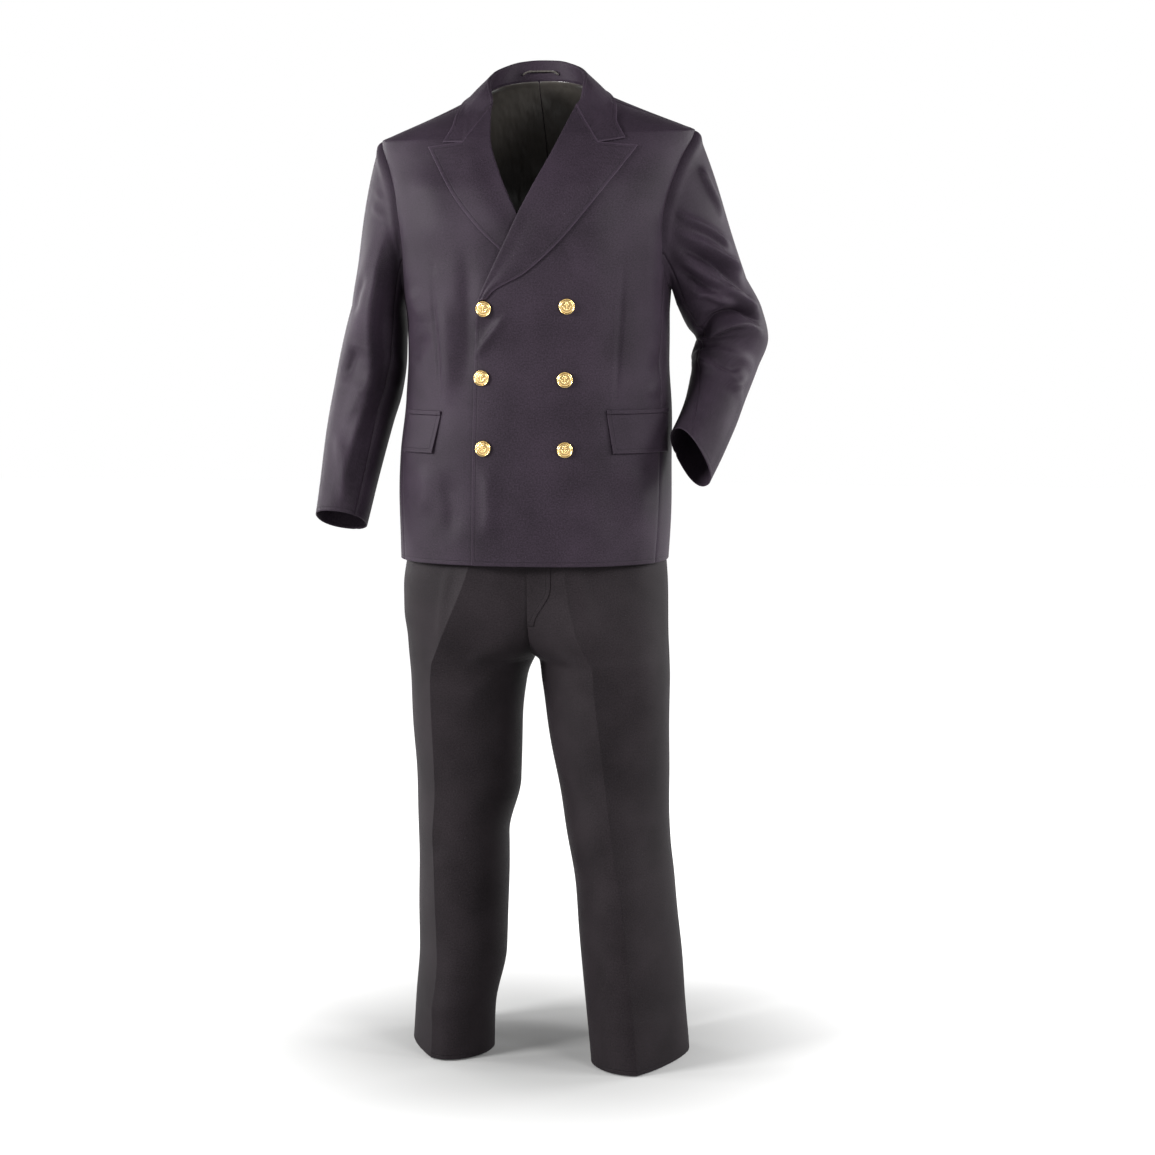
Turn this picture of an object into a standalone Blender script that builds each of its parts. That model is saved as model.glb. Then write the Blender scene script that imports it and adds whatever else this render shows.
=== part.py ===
"""Naval dress uniform, worn form with no wearer: double-breasted jacket and trousers.

Metres, +Z up. The front faces -Y and the wearer's left is +X. The origin lies between the
shoulders, level with the sides of the neck. Each piece that a maker cuts is a wall of its own.
"""
from collections import namedtuple

import bmesh
import bpy
import numpy as np
from mathutils import Matrix

# Cloth and fit
CLOTH = 0.0020          # wall of the twill
SEAM = 0.0003           # space between two pieces at a seam
LIE = 0.0006            # space under a piece that lies on a panel
LINING = 0.0010         # wall of the satin
LINING_MARGIN = 0.0015  # how far the satin stays inside the back's seams
SQUARENESS = 2.4        # power of the body's rings, 2 is an ellipse

# Heights down the jacket and the trousers
HEM = -0.705
BREAK = -0.303          # where the front edge turns into the lapel
ARMPIT = -0.290
TIP = -0.050            # shoulder tip
NECK = 0.012            # side of the neck
TROUSER_TOP = -0.5955
FORK = -0.8655
TROUSER_HEM = -1.497

# Rows and columns of the panels
BODY_ROWS = 8
ARM_ROWS = 8
NECK_ROWS = 2
PANEL_COLUMNS = 8
SIDE_COLUMNS = 4
HOLLOW_POWER = 4        # how late the side panel's rows bend to the armhole
GORGE_POWER = 3         # how late the lapel's rows bend to the gorge seam

# Searches for a point of the form
FRONT_ROUNDS = 25
HALVINGS = 40
SIDE_LIMIT = 0.995      # part of the half width up to which the front is searched

Ring = namedtuple("Ring", "level half front back lean lift sway turn")
TORSO = [
    Ring(-0.720, 0.2105, 0.148, 0.138, 0.00, 0.000, -0.0055, 0.00),
    Ring(-0.600, 0.2142, 0.149, 0.139, 0.00, 0.000, -0.0040, 0.00),
    Ring(-0.540, 0.2130, 0.148, 0.137, 0.00, 0.000, -0.0030, 0.00),
    Ring(-0.455, 0.2075, 0.146, 0.132, 0.00, 0.000, 0.0015, 0.00),
    Ring(-0.390, 0.2035, 0.147, 0.131, 0.00, 0.004, 0.0018, 0.00),
    Ring(-0.330, 0.2040, 0.150, 0.134, 0.00, 0.012, 0.0010, 0.00),
    Ring(-0.290, 0.2080, 0.152, 0.139, 0.00, 0.018, 0.0000, 0.00),
    Ring(-0.200, 0.2150, 0.149, 0.146, 0.01, 0.022, 0.0000, 0.00),
    Ring(-0.140, 0.2270, 0.136, 0.146, 0.02, 0.024, 0.0000, 0.00),
    Ring(-0.100, 0.2370, 0.116, 0.139, 0.04, 0.026, 0.0000, -0.01),
    Ring(-0.050, 0.2440, 0.088, 0.120, 0.08, 0.026, 0.0000, -0.03),
    Ring(-0.042, 0.2270, 0.083, 0.116, 0.11, 0.026, 0.0000, -0.04),
    Ring(-0.030, 0.1960, 0.077, 0.110, 0.15, 0.026, 0.0000, -0.05),
    Ring(-0.010, 0.1420, 0.067, 0.099, 0.25, 0.026, 0.0000, -0.08),
    Ring(0.004, 0.1050, 0.060, 0.090, 0.32, 0.026, 0.0000, -0.10),
    Ring(0.012, 0.0830, 0.057, 0.085, 0.35, 0.026, 0.0000, -0.10),
    Ring(0.020, 0.0800, 0.055, 0.085, 0.35, 0.026, 0.0000, -0.10),
    Ring(0.055, 0.0750, 0.053, 0.091, 0.35, 0.026, 0.0000, -0.10),
]

ArmholeRow = namedtuple("ArmholeRow", "turn front front_level back back_level")
ARMHOLE = [
    ArmholeRow(0.00, 0.000, ARMPIT, 0.000, ARMPIT),
    ArmholeRow(0.11, 0.030, -0.283, 0.032, -0.282),
    ArmholeRow(0.22, 0.050, -0.262, 0.056, -0.258),
    ArmholeRow(0.35, 0.064, -0.228, 0.074, -0.222),
    ArmholeRow(0.50, 0.069, -0.185, 0.080, -0.180),
    ArmholeRow(0.62, 0.065, -0.150, 0.077, -0.147),
    ArmholeRow(0.75, 0.053, -0.112, 0.064, -0.110),
    ArmholeRow(0.87, 0.034, -0.079, 0.040, -0.078),
    ArmholeRow(1.00, 0.000, TIP, 0.000, TIP),
]
SIDE_SEAM = 0.22        # where the side seams meet the armhole, as its turn
SIDE_SEAM_HEM = {"front": 0.068, "back": 0.075}

# Front edge and lapels, x on the wearer's own side of the centre, seen from the front
EdgeRow = namedtuple("EdgeRow", "z x")
FRONT_EDGE = {
    1: [EdgeRow(HEM, -0.0822), EdgeRow(-0.503, -0.0794), EdgeRow(-0.394, -0.0766), EdgeRow(BREAK, -0.0700)],
    -1: [EdgeRow(HEM, -0.0780), EdgeRow(-0.503, -0.0760), EdgeRow(-0.394, -0.0740), EdgeRow(BREAK, -0.0680)],
}
BREAK_LINE = {
    1: [EdgeRow(BREAK, -0.0660), EdgeRow(-0.229, -0.0310), EdgeRow(-0.170, -0.0030), EdgeRow(-0.090, 0.0350),
        EdgeRow(-0.012, 0.0670)],
    -1: [EdgeRow(BREAK, -0.0640), EdgeRow(-0.235, -0.0260), EdgeRow(-0.175, 0.0130), EdgeRow(-0.105, 0.0470),
         EdgeRow(-0.063, 0.0610), EdgeRow(-0.012, 0.0660)],
}
LAPEL_EDGE = {
    1: [EdgeRow(-0.3010, -0.0560), EdgeRow(-0.2878, -0.0428), EdgeRow(-0.2636, 0.0011), EdgeRow(-0.2130, 0.0556),
        EdgeRow(-0.1388, 0.1152), EdgeRow(-0.0716, 0.1634)],
    -1: [EdgeRow(-0.2960, -0.0540), EdgeRow(-0.2700, -0.0200), EdgeRow(-0.2275, 0.0358), EdgeRow(-0.1882, 0.0768),
         EdgeRow(-0.1476, 0.1098), EdgeRow(-0.0725, 0.1560)],
}
Corner = namedtuple("Corner", "x z")
NOTCH = {1: Corner(0.1042, -0.0690), -1: Corner(0.1020, -0.0667)}
COLLAR_POINT = {1: Corner(0.1446, -0.0600), -1: Corner(0.1335, -0.0655)}
LAPEL_ROWS = 12
FALL_SHARES = np.array((0.0, 0.10, 0.26, 0.46, 0.66, 0.84, 1.0))
NOTCH_SHARE = 0.66      # share of the lapel's top, and of the collar's end, that is the gorge seam
SETTLE_SHARE = 0.26     # share over which the cloth comes down from the fold
ROLL_TURNS = (0.0, 60.0, 120.0, 180.0)
LAPEL_ROLL = {1: 0.0013, -1: 0.0009}
LAPEL_LIE = 0.0012      # space under a lapel, which bridges the hollow of the chest

# How far the left front stands off the right one, along the overlap
OverlapRow = namedtuple("OverlapRow", "z rise")
OVERLAP = [
    OverlapRow(HEM - 0.02, 0.0031), OverlapRow(-0.400, 0.0031), OverlapRow(-0.310, 0.0078),
    OverlapRow(-0.200, 0.0082), OverlapRow(-0.110, 0.0028), OverlapRow(-0.040, 0.0),
]
OVERLAP_FULL = 0.098    # x up to which the left front stands off
OVERLAP_END = 0.150     # x where it is back on the body's form

# Collar, at places along the neck seam: 0 is the gorge, 2 the side of the neck, 6 the centre back.
# The outer edge is given by its angle and level on the body and how far it stands off.
Station = namedtuple("Station", "place fold_x fold_y fold_z angle level out span")
COLLAR = [
    Station(0.4, 0.0690, -0.0450, -0.0010, 26.0, -0.0260, 0.0022, 0.45),
    Station(1.0, 0.0725, -0.0300, 0.0190, 17.0, -0.0090, 0.0018, 0.70),
    Station(2.0, 0.0740, 0.0000, 0.0360, 0.0, -0.0010, 0.0020, 0.95),
    Station(3.0, 0.0680, 0.0380, 0.0500, -23.0, 0.0010, 0.0035, 1.0),
    Station(4.0, 0.0530, 0.0670, 0.0610, -46.0, 0.0020, 0.0055, 1.0),
    Station(5.0, 0.0300, 0.0860, 0.0690, -68.0, 0.0020, 0.0080, 1.0),
    Station(6.0, 0.0000, 0.0925, 0.0715, -90.0, 0.0015, 0.0090, 1.0),
]
COLLAR_ROLL = 0.0016
GORGE_STAND = 0.0010    # height of the stand where it runs out at the gorge seam
COLLAR_SEAM = 0.0005    # how far the stand keeps from the body's neck edge

# Arms: the inner and outer side of each ring, its middle in depth, half its depth and its pitch
ArmRing = namedtuple("ArmRing", "inner_x inner_z outer_x outer_z middle_y half_depth pitch")
ARMS = {
    -1: [
        ArmRing(0.2135, -0.3180, 0.2920, -0.3100, 0.004, 0.080, 0.0),
        ArmRing(0.2115, -0.3500, 0.3020, -0.3430, 0.006, 0.078, 0.0),
        ArmRing(0.2130, -0.3950, 0.3135, -0.3850, 0.010, 0.074, 2.0),
        ArmRing(0.2200, -0.4450, 0.3235, -0.4350, 0.008, 0.070, 6.0),
        ArmRing(0.2320, -0.4900, 0.3305, -0.4780, 0.000, 0.066, 11.0),
        ArmRing(0.2430, -0.5400, 0.3360, -0.5240, -0.014, 0.062, 15.0),
        ArmRing(0.2550, -0.5930, 0.3410, -0.5770, -0.030, 0.058, 18.0),
        ArmRing(0.2670, -0.6500, 0.3460, -0.6420, -0.048, 0.054, 20.0),
    ],
    1: [
        ArmRing(0.2150, -0.3080, 0.3225, -0.2700, 0.030, 0.080, -6.0),
        ArmRing(0.2310, -0.3440, 0.3470, -0.3160, 0.045, 0.076, 0.0),
        ArmRing(0.2480, -0.3700, 0.3565, -0.3600, 0.052, 0.070, 10.0),
        ArmRing(0.2440, -0.3940, 0.3420, -0.4020, 0.046, 0.067, 20.0),
        ArmRing(0.2375, -0.4230, 0.3290, -0.4430, 0.022, 0.062, 27.0),
        ArmRing(0.2340, -0.4500, 0.3145, -0.4900, -0.008, 0.058, 30.0),
        ArmRing(0.2290, -0.4740, 0.2930, -0.5380, -0.042, 0.054, 30.0),
        ArmRing(0.2210, -0.4985, 0.2700, -0.5850, -0.074, 0.050, 28.0),
    ],
}
ARM_SQUARENESS = 2.3
ARM_SAMPLES = 13

# Sleeve head, a smooth bridge from the armhole to the first free ring. The pulls are how strongly
# it leaves the armhole and meets the ring, over the shoulder and under the arm.
CAP_ROWS = 7
PULL_START = {1: 0.052, -1: 0.060}
PULL_END = {1: 0.22, -1: 0.26}
UNDER_START = 0.012
UNDER_END = 0.018
HEAD_WAY = (1.0, 0.0, -0.40)   # the way the cloth leaves the shoulder tip, for the wearer's left
HEAD_SHARE = 0.25       # least share of that way, under the arm
TOP_SLEEVE = (14, 27)   # columns of the top sleeve, counted past the shoulder tip

Fold = namedtuple("Fold", "row column slant length width height")
FOLDS_BEGIN = (0.10, 0.30)   # share of the sleeve over which its folds come up
FOLDS_CEASE = (0.90, 1.00)   # and over which they run out
ARM_FOLDS = {
    1: [
        Fold(0.53, 6.5, 0.022, 5.5, 0.030, 0.0060),
        Fold(0.59, 7.0, 0.014, 5.0, 0.024, 0.0055),
        Fold(0.66, 6.5, -0.004, 5.0, 0.026, 0.0060),
        Fold(0.73, 6.0, -0.016, 4.5, 0.026, 0.0050),
        Fold(0.44, 5.5, 0.030, 5.0, 0.034, 0.0050),
    ],
    -1: [
        Fold(0.55, 6.5, 0.010, 4.0, 0.035, 0.0030),
        Fold(0.64, 6.0, -0.006, 4.0, 0.030, 0.0025),
    ],
}

# Pockets: corners of the flap and of the strip above it, seen from the front
Flap = namedtuple("Flap", "top_in top_out bottom_in bottom_out top bottom strip_top")
FLAPS = {
    1: Flap(0.1226, 0.2060, 0.1310, 0.2045, -0.4755, -0.5335, -0.4700),
    -1: Flap(0.1327, 0.1895, 0.1454, 0.1975, -0.4785, -0.5350, -0.4730),
}
FLAP_COLUMNS = 6
FLAP_ROWS = 3
STRIP_SHEET = 0.0012    # wall of the strip above the flap

# Buttons, x and z seen from the front
Button = namedtuple("Button", "name x z lie")
BUTTONS = [
    Button("button_top_right", -0.0596, -0.3155, 0.0004), Button("button_top_left", 0.0639, -0.3120, 0.0001),
    Button("button_middle_right", -0.0655, -0.4200, 0.0004), Button("button_middle_left", 0.0606, -0.4221, 0.0006),
    Button("button_low_right", -0.0632, -0.5265, 0.0002), Button("button_low_left", 0.0606, -0.5277, 0.0004),
]
ProfileRow = namedtuple("ProfileRow", "radius height")
BUTTON_PROFILE = [
    ProfileRow(0.0, 0.0), ProfileRow(0.0085, 0.0), ProfileRow(0.0116, 0.0014), ProfileRow(0.0120, 0.0024),
    ProfileRow(0.0115, 0.0031), ProfileRow(0.0104, 0.0030), ProfileRow(0.0098, 0.0026),
    ProfileRow(0.0078, 0.0036), ProfileRow(0.0040, 0.0046), ProfileRow(0.0, 0.0049),
]
BUTTON_SIDES = 20
BUTTON_MERGE = 0.00005  # points of the turned form closer than this become one

# Trousers: half width, how far the leg's middle is off the centre, and depths, down each leg
Leg = namedtuple("Leg", "z out middle middle_y front back crease back_crease skew square")
LEGS = {
    -1: [
        Leg(-0.595, 0.1800, 0.0000, 0.000, 0.118, 0.112, 52.0, 56.0, 0.00, 2.2),
        Leg(-0.650, 0.1970, 0.0030, 0.000, 0.124, 0.118, 55.0, 58.0, 0.00, 2.2),
        Leg(-0.705, 0.2074, 0.0150, 0.000, 0.128, 0.122, 60.0, 62.0, 0.00, 2.2),
        Leg(-0.750, 0.2140, 0.0345, 0.000, 0.128, 0.126, 62.0, 65.0, 0.00, 2.2),
        Leg(-0.790, 0.2130, 0.0575, 0.001, 0.126, 0.127, 64.0, 70.0, 0.00, 2.2),
        Leg(-0.830, 0.2075, 0.0845, 0.003, 0.121, 0.126, 67.0, 78.0, 0.00, 2.2),
        Leg(-0.850, 0.2064, 0.0973, 0.004, 0.117, 0.124, 68.0, 83.0, 0.00, 2.2),
        Leg(-0.8655, 0.2056, 0.1063, 0.005, 0.115, 0.121, 69.0, 88.0, 0.00, 2.15),
        Leg(-0.900, 0.2035, 0.1120, 0.006, 0.112, 0.116, 70.0, 94.0, 0.00, 2.1),
        Leg(-0.970, 0.2020, 0.1145, 0.008, 0.108, 0.109, 71.0, 100.0, 0.05, 2.05),
        Leg(-1.065, 0.1990, 0.1140, 0.010, 0.104, 0.103, 71.0, 105.0, 0.12, 2.0),
        Leg(-1.154, 0.1985, 0.1240, 0.012, 0.101, 0.100, 72.0, 107.0, 0.18, 1.95),
        Leg(-1.218, 0.1990, 0.1240, 0.012, 0.100, 0.098, 73.0, 107.0, 0.22, 1.9),
        Leg(-1.340, 0.2000, 0.1255, 0.010, 0.099, 0.097, 76.0, 104.0, 0.30, 1.8),
        Leg(-1.427, 0.2055, 0.1365, 0.006, 0.099, 0.097, 79.0, 101.0, 0.37, 1.75),
        Leg(-1.500, 0.2120, 0.1415, 0.004, 0.100, 0.098, 80.0, 100.0, 0.42, 1.7),
    ],
    1: [
        Leg(-0.595, 0.1800, 0.0000, 0.000, 0.118, 0.112, 62.0, 56.0, 0.00, 2.2),
        Leg(-0.650, 0.1940, 0.0030, 0.000, 0.124, 0.118, 66.0, 58.0, 0.00, 2.2),
        Leg(-0.705, 0.2020, 0.0150, 0.000, 0.128, 0.122, 72.0, 62.0, 0.00, 2.2),
        Leg(-0.750, 0.2048, 0.0330, 0.000, 0.128, 0.126, 78.0, 65.0, 0.00, 2.2),
        Leg(-0.790, 0.2062, 0.0560, -0.001, 0.127, 0.127, 84.0, 70.0, 0.00, 2.2),
        Leg(-0.830, 0.2070, 0.0840, -0.002, 0.123, 0.126, 90.0, 78.0, 0.00, 2.2),
        Leg(-0.850, 0.2077, 0.0970, -0.003, 0.119, 0.124, 91.0, 82.0, 0.00, 2.2),
        Leg(-0.8655, 0.2082, 0.1060, -0.004, 0.117, 0.121, 92.0, 86.0, 0.00, 2.15),
        Leg(-0.900, 0.2090, 0.1085, -0.006, 0.114, 0.116, 92.0, 88.0, 0.00, 2.1),
        Leg(-0.970, 0.2090, 0.1140, -0.010, 0.110, 0.109, 91.0, 90.0, 0.05, 2.05),
        Leg(-1.065, 0.2092, 0.1235, -0.014, 0.106, 0.103, 90.0, 91.0, 0.12, 2.0),
        Leg(-1.154, 0.2120, 0.1325, -0.018, 0.103, 0.100, 89.0, 92.0, 0.18, 1.95),
        Leg(-1.218, 0.2185, 0.1410, -0.021, 0.101, 0.098, 88.0, 93.0, 0.22, 1.9),
        Leg(-1.340, 0.2300, 0.1525, -0.028, 0.099, 0.097, 87.0, 93.0, 0.32, 1.8),
        Leg(-1.427, 0.2370, 0.1615, -0.032, 0.099, 0.097, 87.0, 93.0, 0.40, 1.75),
        Leg(-1.500, 0.2430, 0.1680, -0.036, 0.100, 0.098, 87.0, 93.0, 0.46, 1.7),
    ],
}
BAND_SQUARENESS = 2.2
CREASE_RISE = 0.075     # ridge of the pressed crease, as a part of the section's radius
CREASE_WIDTH = 16.0     # degrees
LEG_LEVELS = (-0.5955, -0.650, -0.705, -0.750, -0.790, -0.820, -0.843, -0.857, FORK, -0.885, -0.930, -0.990,
              -1.060, -1.130, -1.200, -1.270, -1.340, -1.405, -1.455, TROUSER_HEM)
LEG_COLUMNS = 4         # from a seam to the crease, and again from the crease to the other seam

BAND_TOP = -0.5560
BAND_WALL = 0.0030
BAND_SIDES = 40
FLY_WIDTH = 0.036
FLY_END = -0.800
FLY_SHEET = 0.0014
FLY_LIE = 0.0013
FLY_CURVE = 0.060       # length over which its foot curves in to the centre seam
FLY_NARROWING = 0.75    # part of the width it loses there
FLY_LIMIT = 40.0        # degrees, the widest place where its edge is looked for
FLY_COLUMNS = 2

# Hanger loop, a cord along the inside of the collar's stand
LOOP_HALF = 0.028
LOOP_RISE = 0.008
LOOP_RADIUS = 0.0014
LOOP_X = -0.006
LOOP_Y = 0.0818
LOOP_Z = 0.0500
LOOP_BEND = 3.55        # how fast the neck's curve carries its ends forward, per metre
LOOP_POINTS = 11


def smooth(at, values):
    """A smooth function through the given sizes that never overshoots them."""
    at, values = np.array(at, float), np.array(values, float)
    gaps = np.diff(at)
    slopes = np.diff(values) / gaps
    product = slopes[:-1] * slopes[1:]
    total = np.where(product > 0, slopes[:-1] + slopes[1:], 1.0)
    tangents = np.concatenate([slopes[:1], np.where(product > 0, 2 * product / total, 0.0), slopes[-1:]])

    def value(x):
        x = np.clip(x, at[0], at[-1])
        i = np.clip(np.searchsorted(at, x, side="right") - 1, 0, len(gaps) - 1)
        t = (x - at[i]) / gaps[i]
        near = (1 + 2 * t) * (1 - t) ** 2 * values[i] + t * (1 - t) ** 2 * gaps[i] * tangents[i]
        far = t * t * (3 - 2 * t) * values[i + 1] + t * t * (t - 1) * gaps[i] * tangents[i + 1]
        return near + far

    return value


def columns_of(rows, key):
    """One smooth function for each column of a table, of its column named key."""
    rows = sorted(rows, key=lambda row: getattr(row, key))
    at = [getattr(row, key) for row in rows]
    return {name: smooth(at, [getattr(row, name) for row in rows]) for name in rows[0]._fields if name != key}


def unit(vectors):
    return vectors / np.linalg.norm(vectors, axis=-1, keepdims=True)


def ease(x, start, end):
    t = np.clip((x - start) / (end - start), 0.0, 1.0)
    return t * t * (3 - 2 * t)


BODY = columns_of(TORSO, "level")
HOLE = columns_of(ARMHOLE, "turn")
RISE = columns_of(OVERLAP, "z")["rise"]


def body_ring(angle, level):
    """Point of the jacket's form: angle 0 is the wearer's left side and a quarter turn the front."""
    angle, level = np.broadcast_arrays(np.asarray(angle, float), np.asarray(level, float))
    across, along = np.cos(angle), np.sin(angle)
    depth = np.where(along >= 0, BODY["front"](level), BODY["back"](level))
    radius = (np.abs(across / BODY["half"](level)) ** SQUARENESS + np.abs(along / depth) ** SQUARENESS)
    radius = radius ** (-1 / SQUARENESS)
    x, y = radius * across, -radius * along
    z = level + BODY["lean"](level) * y + BODY["lift"](level) * x
    return np.stack([x + BODY["sway"](level) + BODY["turn"](level) * y, y, z], -1)


def body_normal(angle, level, step=0.0015):
    around = body_ring(angle + step, level) - body_ring(angle - step, level)
    upward = body_ring(angle, level + step) - body_ring(angle, level - step)
    return unit(np.cross(upward, around))


def body(angle, level, out=0.0):
    """Point of the jacket's form moved out along its normal."""
    return body_ring(angle, level) + body_normal(angle, level) * np.asarray(out, float)[..., None]


def on_front(x, z):
    """Angle and level of the front's point that shows at x and z."""
    x, z = np.broadcast_arrays(np.asarray(x, float), np.asarray(z, float))
    level, y = z.copy(), 0.0 * z
    for _ in range(FRONT_ROUNDS):
        own_x = x - BODY["sway"](level) - BODY["turn"](level) * y
        inside = 1 - np.minimum(np.abs(own_x / BODY["half"](level)), SIDE_LIMIT) ** SQUARENESS
        y = -BODY["front"](level) * inside ** (1 / SQUARENESS)
        level = z - BODY["lean"](level) * y - BODY["lift"](level) * own_x
    return np.arctan2(-y, own_x), level


def rise_at(points):
    """How far the left front stands off the body's form at these points."""
    return RISE(points[..., 2]) * (1 - ease(points[..., 0], OVERLAP_FULL, OVERLAP_END))


def side_angle(angle, side):
    """Mirror an angle given for the wearer's left to the asked side."""
    return angle if side > 0 else np.pi - angle


def armhole(turn, face, side):
    """Angle and level on the armhole, from the armpit at 0 to the shoulder tip at 1."""
    depth_name = "front" if face == "front" else "back"
    level = HOLE[depth_name + "_level"](turn)
    y = HOLE[depth_name](turn)
    inside = 1 - np.abs(y / BODY[depth_name](level)) ** SQUARENESS
    x = BODY["half"](level) * inside ** (1 / SQUARENESS)
    angle = np.arctan2(y if face == "front" else -y, x)
    return np.stack([side_angle(angle, side), level], -1)


def side_seam(face, side):
    """Rows of angle and level up a side seam, from the hem to the armhole."""
    top = armhole(np.array(SIDE_SEAM), face, 1)
    y = SIDE_SEAM_HEM[face]
    x = BODY["half"](HEM) * (1 - (y / BODY[face](HEM)) ** SQUARENESS) ** (1 / SQUARENESS)
    foot = np.array([np.arctan2(y if face == "front" else -y, x), HEM])
    t = np.linspace(0, 1, BODY_ROWS + 1)[:, None]
    rows = (1 - t) * foot + t * top
    rows[:, 0] = side_angle(rows[:, 0], side)
    return rows


def arm_side(face, side):
    """Rows of angle and level up the armhole, from the side seam to the shoulder tip."""
    turn = np.linspace(SIDE_SEAM, 1, ARM_ROWS + 1)
    return armhole(turn, face, side)


def front_rows(table, side, z):
    """Angle and level of a line of the front given by its x at each z."""
    x = columns_of(table, "z")["x"](z)
    return np.stack(on_front(side * x, z), -1)


def neck_rows(start_angle, start_level, steps, side):
    """Rows along the neckline, from a point of the front or back to the side of the neck."""
    t = np.linspace(0, 1, steps + 1)[1:]
    angle = (1 - t) * start_angle + t * side_angle(0.0, side)
    level = (1 - t) * start_level + t * NECK
    return np.stack([angle, level], -1)


def front_edge_rows(side):
    """Rows of angle and level up the front edge, the break line and the neckline."""
    straight = front_rows(FRONT_EDGE[side], side, np.linspace(HEM, BREAK, BODY_ROWS + 1))
    climb = np.linspace(BREAK, BREAK_LINE[side][-1].z, ARM_ROWS - NECK_ROWS + 1)
    rolled = front_rows(BREAK_LINE[side], side, climb)
    straight[-1] = rolled[0]
    return np.concatenate([straight, rolled[1:], neck_rows(*rolled[-1], NECK_ROWS, side)])


def back_edge_rows(side):
    """Rows up the centre back seam and along the back neckline."""
    middle = -np.pi / 2 if side > 0 else 1.5 * np.pi
    climb = ARM_ROWS - SIDE_COLUMNS
    top = armhole(np.array(SIDE_SEAM), "back", side)[1]
    levels = np.concatenate([np.linspace(HEM, top, BODY_ROWS + 1), np.linspace(top, NECK, climb + 1)[1:]])
    rows = np.stack([np.full_like(levels, middle), levels], -1)
    return np.concatenate([rows, neck_rows(middle, NECK, SIDE_COLUMNS, side)])


def between(first, last, columns):
    """Grid of angle and level between two edges, row by row."""
    t = np.linspace(0, 1, columns + 1)[None, :, None]
    return (1 - t) * first[:, None] + t * last[:, None]


def trim(outer, inner, edges, gap=SEAM / 2):
    """Draw the named edges of a wall's two grids back from their seam."""
    places = {"bottom": (0, 1), "top": (-1, -2), "first": (0, 1), "last": (-1, -2)}
    for edge in edges:
        end, beside = places[edge]
        for grid in (outer, inner):
            rows = grid if edge in ("bottom", "top") else grid.swapaxes(0, 1)
            rows[end] += unit(rows[beside] - rows[end]) * gap


def wall(name, outer, inner, material, closed=False):
    """A closed wall between two grids of points. Closed joins the last column to the first."""
    rows, columns = outer.shape[:2]
    mesh = bmesh.new()
    near = [[mesh.verts.new(p) for p in row] for row in outer]
    far = [[mesh.verts.new(p) for p in row] for row in inner]
    last = columns if closed else columns - 1
    for i in range(rows - 1):
        for j in range(last):
            k = (j + 1) % columns
            mesh.faces.new((near[i][j], near[i][k], near[i + 1][k], near[i + 1][j]))
            mesh.faces.new((far[i][j], far[i + 1][j], far[i + 1][k], far[i][k]))
    rims = [(near[i], far[i]) for i in (0, -1)]
    rims = [([a[k % columns] for k in range(last + 1)], [b[k % columns] for k in range(last + 1)]) for a, b in rims]
    if not closed:
        rims += [([row[j] for row in near], [row[j] for row in far]) for j in (0, -1)]
    for a, b in rims:
        for i in range(len(a) - 1):
            mesh.faces.new((a[i], a[i + 1], b[i + 1]))
            mesh.faces.new((a[i], b[i + 1], b[i]))
    bmesh.ops.recalc_face_normals(mesh, faces=mesh.faces[:])
    return finish(name, mesh, material)


def finish(name, mesh, material):
    data = bpy.data.meshes.new(name)
    mesh.to_mesh(data)
    mesh.free()
    data.materials.append(material)
    piece = bpy.data.objects.new(name, data)
    bpy.data.collections["naval_dress_uniform"].objects.link(piece)
    return piece


def colour(name, rgb, roughness, metallic=0.0):
    material = bpy.data.materials.new(name)
    material.use_nodes = True
    shader = material.node_tree.nodes["Principled BSDF"]
    shader.inputs["Base Color"].default_value = (*rgb, 1.0)
    shader.inputs["Roughness"].default_value = roughness
    shader.inputs["Metallic"].default_value = metallic
    material.diffuse_color = (*rgb, 1.0)
    return material


def side_name(side):
    return "left" if side > 0 else "right"


def front_panel(side, cloth):
    """One front, from its edge and break line to the side seam, armhole and shoulder seam."""
    sides = np.concatenate([side_seam("front", side), arm_side("front", side)[1:]])
    grid = between(front_edge_rows(side), sides, PANEL_COLUMNS)
    angle, level = grid[..., 0], grid[..., 1]
    out = rise_at(body(angle, level)) if side > 0 else 0.0 * angle
    outer, inner = body(angle, level, out), body(angle, level, out - CLOTH)
    trim(outer, inner, ("top", "last", "first"))
    return wall("front_" + side_name(side), outer, inner, cloth)


def back_grid(side):
    """Angle and level of one back, from the centre seam to the side seam and armhole."""
    sides = np.concatenate([side_seam("back", side), arm_side("back", side)[1:]])
    return between(back_edge_rows(side), sides, PANEL_COLUMNS)


def back_panel(side, cloth):
    """One back, from the centre seam to the side seam, armhole, shoulder seam and neck."""
    grid = back_grid(side)
    outer, inner = (body(grid[..., 0], grid[..., 1], out) for out in (0.0, -CLOTH))
    trim(outer, inner, ("top", "last", "first"))
    return wall("back_" + side_name(side), outer, inner, cloth)


def back_lining(side, satin):
    """Satin on the inside of one back, as far down as the open neck shows."""
    grid = back_grid(side)[BODY_ROWS - 1:]
    near = CLOTH + LIE
    outer, inner = (body(grid[..., 0], grid[..., 1], out) for out in (-near, -near - LINING))
    trim(outer, inner, ("top", "last", "first"), LINING_MARGIN)
    return wall("lining_back_" + side_name(side), outer, inner, satin)


def hole_bottom(side):
    """Columns of angle and level along the bottom of the armhole, from the front seam to the back."""
    half = SIDE_COLUMNS // 2
    front = armhole(np.linspace(SIDE_SEAM, 0, half + 1), "front", side)
    back = armhole(np.linspace(0, SIDE_SEAM, half + 1), "back", side)
    return np.concatenate([front, back[1:]])


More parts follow.
